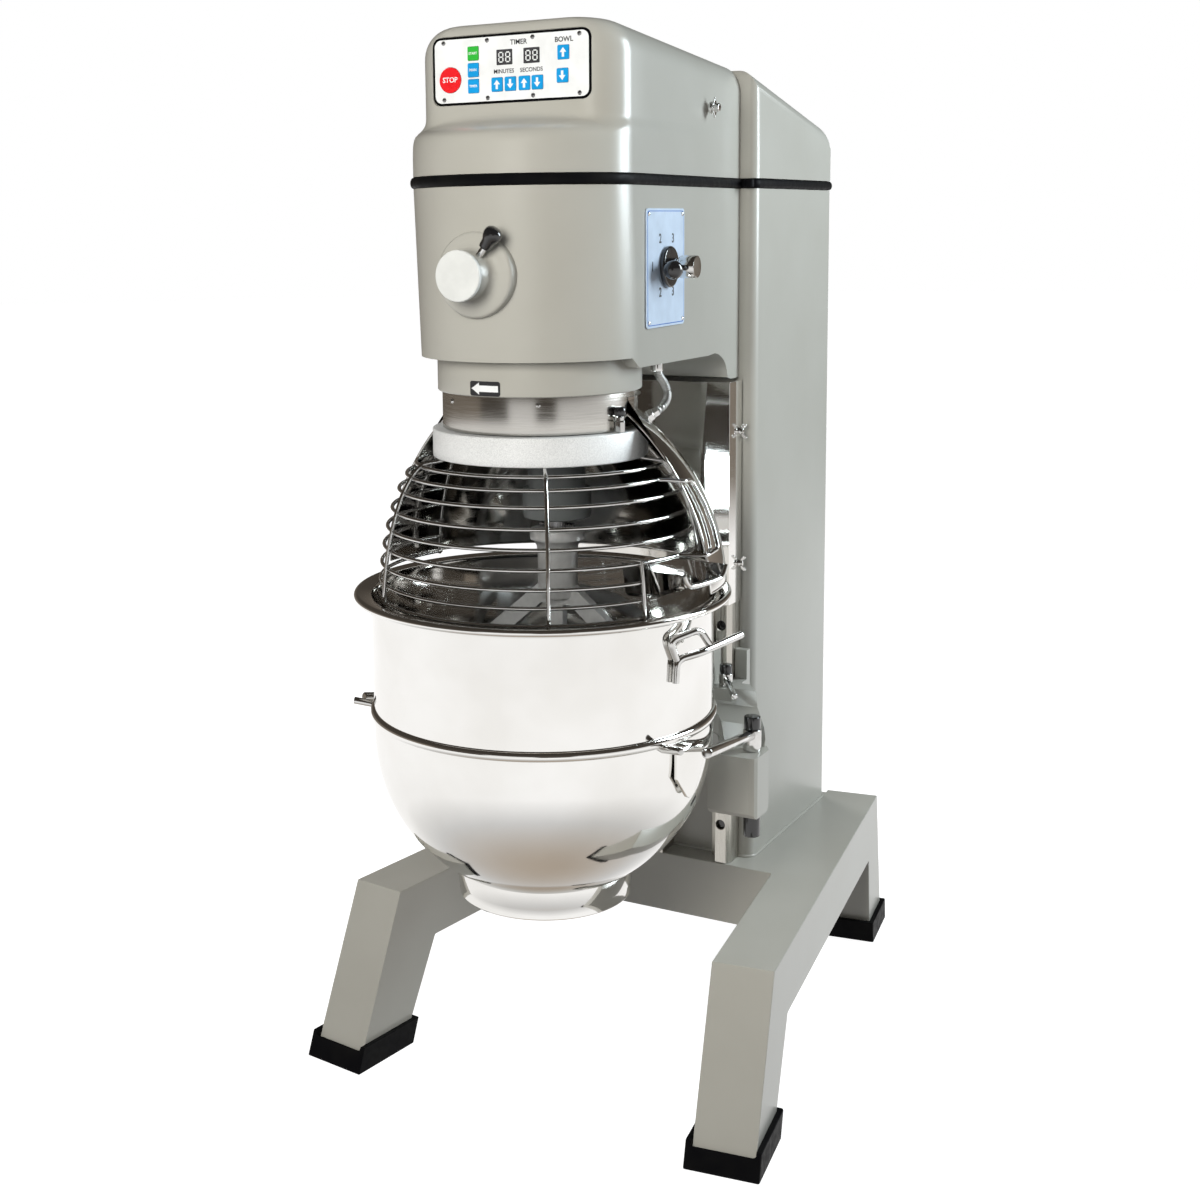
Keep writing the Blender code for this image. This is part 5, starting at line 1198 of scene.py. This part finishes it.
def make_bowl():
    floor = BOWL_FOOT_HIGH - 0.006
    outer = [(BOWL_FOOT_RADIUS - 0.001, BOWL_FOOT_LOW + 0.001), (BOWL_FOOT_RADIUS, BOWL_FOOT_LOW + 0.0025)]
    outer += [
        (BOWL_FOOT_RADIUS, BOWL_FOOT_LOW + 0.016), (BOWL_FOOT_RADIUS + 0.001, BOWL_FOOT_HIGH - 0.0015)]
    steps = 40
    for k in range(steps + 1):
        t = (1 - cos(pi / 2 * k / steps)) if k < steps else 1.0
        z = BOWL_FOOT_HIGH + 0.002 + (BOWL_ROUND_TOP - BOWL_FOOT_HIGH - 0.002) * t
        if bowl_radius(z) > outer[-1][0]:
            outer.append((bowl_radius(z), z))
    outer += [(BOWL_RADIUS, BOWL_ROUND_TOP + 0.006)]
    outer += corner(BOWL_RADIUS, BOWL_BAND_Z, 0.0058, -90, 90, 8, 0.0075)
    lip = 0.0055
    outer += [(BOWL_RADIUS, 0.7), (BOWL_RADIUS, BOWL_RIM_TOP - 2 * lip - 0.01)]
    outer += [
        (BOWL_RADIUS + 0.0015, BOWL_RIM_TOP - 2 * lip - 0.004),
        (BOWL_RADIUS + 0.006, BOWL_RIM_TOP - 2 * lip)]
    outer += corner(BOWL_RIM_RADIUS - lip, BOWL_RIM_TOP - lip, lip, -90, 102, 12)
    inner = [(BOWL_RADIUS + 0.005, BOWL_RIM_TOP - 0.0025), (BOWL_RADIUS, BOWL_RIM_TOP - 0.005)]
    inner += [(BOWL_RADIUS - BOWL_WALL, BOWL_RIM_TOP - 0.011), (BOWL_RADIUS - BOWL_WALL, BOWL_ROUND_TOP)]
    for k in range(1, steps + 1):
        z = BOWL_ROUND_TOP - (BOWL_ROUND_TOP - floor - 0.004) * k / steps
        inner.append((bowl_radius(z, BOWL_WALL), z))
    inner += [(0.08, floor + 0.003), (0.0, floor + 0.0025), (0.0, floor), (BOWL_FOOT_RADIUS - 0.006, floor)]
    inner.append((BOWL_FOOT_RADIUS - 0.005, BOWL_FOOT_LOW + 0.001))
    mount(turned("mixing_bowl", outer + inner, 160), "polished_steel", "carriage", "bowl", angle=30)
    for side, word in SIDES:
        out = compass(1.0, radians(84), 0.0)
        along = Vector((-out.y, out.x, 0.0))
        shape = (
            (-0.044, 0.604), (0.032, 0.604), (0.032, 0.576), (0.006, 0.533), (0.0, 0.53), (-0.01, 0.53),
            (-0.016, 0.533), (-0.044, 0.566))
        sections = []
        for reach in (BOWL_RADIUS - 0.0014, BOWL_RADIUS + 0.004):
            section = []
            for u, z in shape:
                point = out * reach + along * u
                section.append((side * point.x, point.y, z))
            sections.append(section)
        mount(loft("bowl_lug_" + word, sections), "polished_steel", "carriage", soft=0.0012)
        start = compass(BOWL_RADIUS - 0.001, radians(70), 0.614)
        end = compass(BOWL_RADIUS + 0.04, radians(69), 0.622)
        peg = cylinder(
            "bowl_peg_" + word, (side * start.x, start.y, start.z), (side * end.x, end.y, end.z), 0.0055,
            24, 0.0012)
        mount(peg, "chrome", "carriage")


def make_handles():
    wall = BOWL_RADIUS + 0.0056
    foot = compass(wall, radians(74.2), 0.7085)
    knee = compass(wall, radians(74.8), 0.742)
    reach = compass(0.284, radians(80.6), 0.7493)
    end = compass(0.308, radians(98.4), 0.7583)
    upper = compass(wall, radians(71.6), 0.772)
    peak = compass(0.276, radians(83.1), 0.78)
    meet = compass(0.2865, radians(86.5), 0.7498)
    for side, word in SIDES:
        paths = [
            rounded_path((foot, knee, reach, end), 0.013), rounded_path((knee, upper, peak, meet), 0.012)]
        flipped = [[(side * p.x, p.y, p.z) for p in path] for path in paths]
        handle = curve_wires("handle_" + word, flipped, 0.0054, False, 6)
        mount(handle, "chrome", "carriage", "bowl_handle_" + word)
        dome = [
            (0.0, -0.004), (0.0053, -0.004), (0.0053, 0.0), (0.0045, 0.0028), (0.0026, 0.0044),
            (0.0, 0.0049)]
        out = end - reach
        cap = turned(
            "handle_end_" + word, dome, 24, (side * end.x, end.y, end.z), (side * out.x, out.y, out.z))
        mount(cap, "chrome", "carriage")


# ---------------------------------------------------------------- guard
def cage_radius(z):
    t = min(1.0, max(0.0, (RING_LOW - z) / 0.2))
    return RING_RADIUS + (CAGE_RADIUS - RING_RADIUS) * (1 - (1 - t) ** 1.6) ** (1 / 2.2)


def shield_radius(z):
    t = min(1.0, max(0.0, (z - SHIELD_LOW) / SHIELD_RISE))
    return SHIELD_RADIUS * (1 - t**1.8) ** (1 / 1.8)


def upright(azimuth, low):
    path = [
        compass(RING_RADIUS - 0.008, azimuth, RING_LOW + 0.001),
        compass(RING_RADIUS - 0.004, azimuth, RING_LOW - 0.002)]
    steps = 28
    for k in range(steps + 1):
        t = (k / steps) ** 1.5
        z = RING_LOW - 0.005 - (RING_LOW - 0.005 - low) * t
        path.append(compass(cage_radius(z) + CAGE_WIRE * 1.6, azimuth, z))
    return path


def make_cage():
    paths = []
    for azimuth, low in (
        (CAGE_FROM, 0.826), (radians(-39), 0.806), (radians(31), 0.803), (CAGE_TO, 0.878)
    ):
        paths.append(upright(azimuth, low))
    for z in CAGE_LEVELS:
        end = CAGE_TO if z > 0.87 else CHUTE_FROM
        paths.append(arc(cage_radius(z), CAGE_FROM, end, z))
    paths.append(arc(cage_radius(0.806), radians(-39), CHUTE_FROM, 0.806))
    paths.append(
        [
            compass(cage_radius(z) + CAGE_WIRE * 1.6, CHUTE_FROM, z)
            for z in (0.886, 0.87, 0.856, 0.831, 0.803)])
    hook = arc(cage_radius(0.988), radians(78), radians(86), 0.988)
    hook.append(compass(0.238, radians(89), 0.987))
    for azimuth, z in ((97, 0.984), (98, 0.95), (98, 0.915), (97, 0.886)):
        hook.append(compass(shield_radius(z) + 0.0065, radians(azimuth), z))
    hook.append(compass(shield_radius(0.8825) + 0.004, radians(88), 0.8825))
    hook += arc(cage_radius(0.8825), radians(84), radians(76), 0.8825)
    paths.append(rounded_path(hook, 0.008, 5))
    mount(curve_wires("wire_guard", paths, CAGE_WIRE), "chrome", "guard", "guard_cage")


def make_shield():
    steps = 36
    outer = []
    inner = []
    for k in range(steps + 1):
        z = SHIELD_LOW + (SHIELD_TOP - SHIELD_LOW) * sin(pi / 2 * k / steps)
        outer.append((shield_radius(z), z))
        inner.append((shield_radius(z) - SHIELD_SHEET, z))
    outer.append((BAND_RADIUS + 0.0046, SHIELD_TOP + 0.004))
    outer.append((BAND_RADIUS + 0.0006, SHIELD_TOP + 0.004))
    inner[-1] = (BAND_RADIUS + 0.0006, SHIELD_TOP - 0.001)
    profile = outer + list(reversed(inner))
    sections = []
    for i in range(97):
        azimuth = radians(90 + 180 * i / 96)
        sections.append([compass(r, azimuth, z) for r, z in profile])
    mount(loft("shield_dome", sections), "polished_steel", "stand", "rear_shield", angle=30)
    edge = [compass(r - SHIELD_SHEET / 2, radians(90), z) for r, z in reversed(outer[:-2])]
    edge += arc(SHIELD_RADIUS - SHIELD_SHEET / 2, radians(90), radians(270), SHIELD_LOW)[1:]
    edge += [compass(r - SHIELD_SHEET / 2, radians(270), z) for r, z in outer[:-2]][1:]
    mount(curve_wires("shield_hem", [edge], SHIELD_HEM), "polished_steel", "stand")


def shield_gland_point(distance):
    slope = radians(30.5)
    return compass(
        0.164 + distance * cos(slope), radians(128), 1.0638 + distance * sin(slope))


def paced(path, count):
    """Evenly spaced points of a path: the length up to each, the point and its heading."""
    lengths = [0.0]
    for a, b in zip(path, path[1:]):
        lengths.append(lengths[-1] + (b - a).length)
    paces = []
    segment = 0
    for k in range(count + 1):
        run = lengths[-1] * k / count
        while segment < len(path) - 2 and lengths[segment + 1] < run:
            segment += 1
        share = (run - lengths[segment]) / (lengths[segment + 1] - lengths[segment])
        before = path[max(segment - 1, 0)]
        after = path[min(segment + 2, len(path) - 1)]
        paces.append((run, path[segment].lerp(path[segment + 1], share), (after - before).normalized()))
    return paces


def make_conduit():
    """Armoured cable with wound ribs, from the neck to the rear shield."""
    route = [
        (0.14, 0.111, 1.152), (0.14, 0.114, 1.128), (0.14, 0.138, 1.112), (0.141, 0.149, 1.096),
        (0.144, 0.138, 1.086), shield_gland_point(0.026), shield_gland_point(0.0106)]
    rings = []
    across = None
    for run, point, heading in paced(rounded_path(route, 0.012, 10), 420):
        if across is None:
            across = heading.orthogonal().normalized()
        else:
            across = previous.rotation_difference(heading).to_matrix() @ across
        across = (across - heading * across.dot(heading)).normalized()
        previous = heading
        side = heading.cross(across)
        ring = []
        for i in range(20):
            a = 2 * pi * i / 20
            rib = max(-0.6, sin(2 * pi * run / CONDUIT_PITCH + a))
            radius = CONDUIT_RADIUS + CONDUIT_RIB * rib
            ring.append(point + across * radius * cos(a) + side * radius * sin(a))
        rings.append(ring)
    mount(loft("armoured_conduit", rings), "conduit", "stand", "conduit", angle=60, slot="chrome")
    axis = shield_gland_point(1.0) - shield_gland_point(0.0)
    nut = turned(
        "conduit_gland",
        [
            (0.0, -0.002), (0.0098, -0.002), (0.0098, 0.007), (0.009, 0.008), (0.0082, 0.0085),
            (0.0082, 0.0165), (0.0074, 0.018), (0.0, 0.018)],
        6, shield_gland_point(0.0), axis)
    mount(nut, "chrome", "stand")
    top = turned(
        "conduit_collar", rounded_disc(0.0095, 0.0, 0.014, 0.0015), 32, (0.14, 0.111, 1.132), (0, 0, 1))
    mount(top, "chrome", "stand")


def make_chute():
    """A folded sheet trough with a rolled lip, hung in the guard."""
    heading = radians(78)
    along = compass(1.0, heading, 0.0)
    across = Vector((along.y, -along.x, 0.0))
    sheet = 0.0016

    def spot(reach, side, z):
        return along * reach + across * side + UP * z

    stations = ((0.176, 0.018, 0.821, 0.052), (0.246, 0.042, 0.833, 0.04), (0.302, 0.04, 0.856, 0.018))
    sections = []
    for (a, b) in zip(stations, stations[1:]):
        for k in range(6 if b is stations[-1] else 5):
            t = k / 5
            reach, half, z, wall = [p + (q - p) * t for p, q in zip(a, b)]
            fold = min(half, 0.006)
            outer = [(half + 0.01, z + wall), (half + fold * 0.2, z + fold), (half - fold, z)]
            inner = [
                (half - fold, z + sheet), (half + fold * 0.2 - sheet, z + fold),
                (half + 0.01 - sheet, z + wall)]
            loop = outer + [(-u, w) for u, w in reversed(outer)]
            loop += [(-u, w) for u, w in reversed(inner)] + inner
            sections.append([spot(reach, u, w) for u, w in loop])
    mount(loft("chute_trough", sections), "polished_steel", "guard", "feed_chute", angle=30)
    lip = [
        spot(0.302, s, z)
        for s, z in (
            (0.05, 0.8735), (0.044, 0.862), (0.036, 0.8562), (0.018, 0.8545), (-0.018, 0.8545),
            (-0.036, 0.8562), (-0.044, 0.862), (-0.05, 0.8735))]
    mount(curve_wires("chute_lip", [rounded_path(lip, 0.006, 4)], 0.0038, False, 6), "chrome", "guard")


def make_guard_latch():
    centre = compass(0.154, radians(77), 0)
    low = RING_HIGH + 0.0008
    body = turned(
        "latch_nut",
        [(0.0034, 0.0), (0.0078, 0.0), (0.0078, 0.015), (0.0066, 0.0165), (0.0066, 0.022), (0.0034, 0.022)],
        6, (centre.x, centre.y, low))
    mount(body, "chrome", "stand", "latch_body", soft=0.0006)
    profile = [
        (0.0, 0.0), (0.0031, 0.0), (0.0031, 0.023), (0.007, 0.0235), (0.0085, 0.0255), (0.0086, 0.031),
        (0.0078, 0.0345), (0.0055, 0.0365), (0.0, 0.037)]
    knob = turned("latch_knob", profile, 32, (centre.x, centre.y, low))
    mount(knob, "black_plastic", "guard_plunger", "latch_plunger")


# ---------------------------------------------------------------- slide, carriage and clamps
def make_slide():
    for name in ("rail_right", "rail_left", "screw_bearings"):
        dress_node(name, "slide_steel", 0.001)
    for side, word in SIDES:
        # Black discs at the rail holes: painted shade standing for the dark inside each hole.
        for number, z in enumerate((0.335, 0.683)):
            x, y = side * RAIL_HOLE_SHADE[0], RAIL_HOLE_SHADE[1]
            plug = cylinder(
                f"rail_hole_shade_{word}_{number + 1}", (x, y, z), (x, y - 0.006, z), 0.0082, 24, 0.001)
            mount(plug, "black_plastic", "stand")
    x, y = LIFT_SCREW
    thread = cylinder("lift_spindle", (x, y, 0.273), (x, y, 1.06), LIFT_THREAD_RADIUS, 32)
    turns = 40
    steps = 16 * turns
    path = []
    for k in range(steps + 1):
        a = 2 * pi * k / 16
        run = 0.28 + 0.772 * k / steps
        path.append((x + LIFT_THREAD_RADIUS * cos(a), y + LIFT_THREAD_RADIUS * sin(a), run))
    mount(thread, "gear_steel", "lift_screw_body", "lift_screw")
    mount(curve_wires("lift_thread", [path], 0.0016, False, 1), "gear_steel", "lift_screw_body")


def make_splash_panel():
    outline = [(0.106, 0.346), (0.118, 0.352), (0.156, 0.356), (0.156, 0.408)]
    t = 0.0018
    inner = [(0.106, 0.346 + t), (0.1175, 0.352 + t), (0.156 - t, 0.356 + t), (0.156 - t, 0.408)]
    loop = outer_loop(outline, inner)
    mount(prism("splash_sheet", loop, 0.722, 1.094), "polished_steel", "stand", "splash_panel", soft=0.0006)
    for side, word in SIDES:
        for number, z in enumerate((0.787, 1.01)):
            make_wing_nut(f"wing_nut_{word}_{number + 1}", (side * 0.1562, 0.398, z), (side, 0, 0), "stand")


def outer_loop(outline, inner):
    loop = outline + list(reversed(inner))
    loop += [(-x, y) for x, y in inner]
    return loop + [(-x, y) for x, y in reversed(outline)]


def make_wing_nut(name, place, out, body):
    place = Vector(place)
    out = Vector(out)
    hub = turned(
        name,
        [(0.0, 0.0), (0.0062, 0.0), (0.0062, 0.002), (0.0052, 0.003), (0.0042, 0.0075), (0.0, 0.0078)], 24,
        place, out)
    wings = []
    for sign in (1, -1):
        shape = [
            (0.003, 0.002), (0.0095, 0.005), (0.0125, 0.0085), (0.012, 0.0125), (0.0095, 0.013),
            (0.0035, 0.006)]
        sections = []
        for thick in (-0.0011, 0.0011):
            section = []
            for u, v in shape:
                section.append(place + out * v + UP * (sign * u) + Vector((0, thick, 0)))
            sections.append(section)
        wings.append(loft("wing", sections))
    nut = join(hub, *wings)
    return mount(nut, "chrome", body, soft=0.0005)


def make_cover_latches():
    for side, word in SIDES:
        place = Vector((side * 0.159, 0.265, 1.528))
        out = Vector((side, 0, 0))
        stud = [
            (0.0, 0.0), (0.0095, 0.0), (0.0095, 0.004), (0.0068, 0.005), (0.0068, 0.014), (0.0058, 0.016),
            (0.0, 0.0166)]
        stem = turned("catch_" + word, stud, 32, place, out)
        diamond = ((0.016, 0.0), (0.0, 0.01), (-0.016, 0.0), (0.0, -0.01))
        wing = loft(
            "wing",
            [[place + out * v + UP * u + Vector((0, w, 0)) for u, w in diamond] for v in (0.0062, 0.009)])
        mount(join(stem, wing), "chrome", "cover_catch_" + word, "cover_latch_" + word, soft=0.0008)


def make_carriage():
    dress_node("bowl_yoke", "body_paint", 0.006)


def joint_place(name):
    return Vector(JOINTS[name]["pos_m"]) - AXIS


def make_clamps():
    for side, word, tip in ((1, "right", (0.2877, -0.039, 0.6012)), (-1, "left", (0.35, 0.02, 0.585))):
        x, y, _ = joint_place(f"clamp_{word}_swing")
        pin = cylinder("clamp_pin_" + word, (x, y, 0.379), (x, y, 0.4197), 0.0135, 32, 0.0012)
        mount(pin, "black_plastic", "clamp_" + word, slot="chrome")
        hub = turned("clamp_hub_" + word, rounded_disc(0.0145, 0.0, 0.0347, 0.001), 40, (x, y, 0.5203))
        lever = cylinder("lever", (x, y, 0.545), (side * tip[0], tip[1], tip[2]), 0.0082, 32, 0.0022)
        mount(join(hub, lever), "chrome", "clamp_" + word, "clamp_lever_" + word)
        cap = turned("clamp_cap_" + word, rounded_disc(0.0132, 0.0, 0.0214, 0.0022), 40, (x, y, 0.5551))
        mount(cap, "black_plastic", "clamp_" + word)
    x, y, _ = joint_place("clamp_rear_swing")
    hub = turned("rear_clamp_hub", rounded_disc(0.0115, 0.0, 0.0215, 0.001), 40, (x, y, 0.5903))
    lever = cylinder("lever", (x, y, 0.6035), (0.211, 0.249, 0.6005), 0.0054, 24, 0.0018)
    mount(join(hub, lever), "chrome", "clamp_rear", "rear_clamp_lever")
    cap = turned("rear_clamp_cap", rounded_disc(0.0105, 0.0, 0.0152, 0.002), 40, (x, y, 0.6119))
    mount(cap, "black_plastic", "clamp_rear")


def make_rear():
    dress_node("rear_panel", "body_paint", 0.0008)
    dress_node("cable_gland", "black_plastic", 0.001)
    for row, z in enumerate((0.412, 0.86, 1.308)):
        for side, word in reversed(SIDES):
            place = (side * 0.141, COLUMN_REAR + 0.0033, z)
            screw_head(f"rear_screw_{row + 1}_{word}", place, (0, 1, 0), 0.004)


def make_drive():
    for name in ("input_shaft", "motor_pulley", "hub_shaft", "ring_gear"):
        dress_node(name, "gear_steel")
    dress_node("motor", "motor_grey", 0.002)
    dress_node("drive_belt", "rubber")


for make in (
    make_camera, make_floor, make_light, make_base, make_column, make_column_cover, make_housing,
    make_hood, make_seam_trim, make_panel, make_hub, make_selector, make_labels, make_band_and_ring,
    make_planetary, make_agitator, make_bowl, make_handles, make_cage, make_shield, make_conduit,
    make_chute, make_guard_latch, make_slide, make_splash_panel, make_cover_latches, make_carriage,
    make_clamps, make_rear, make_drive,
):
    make()
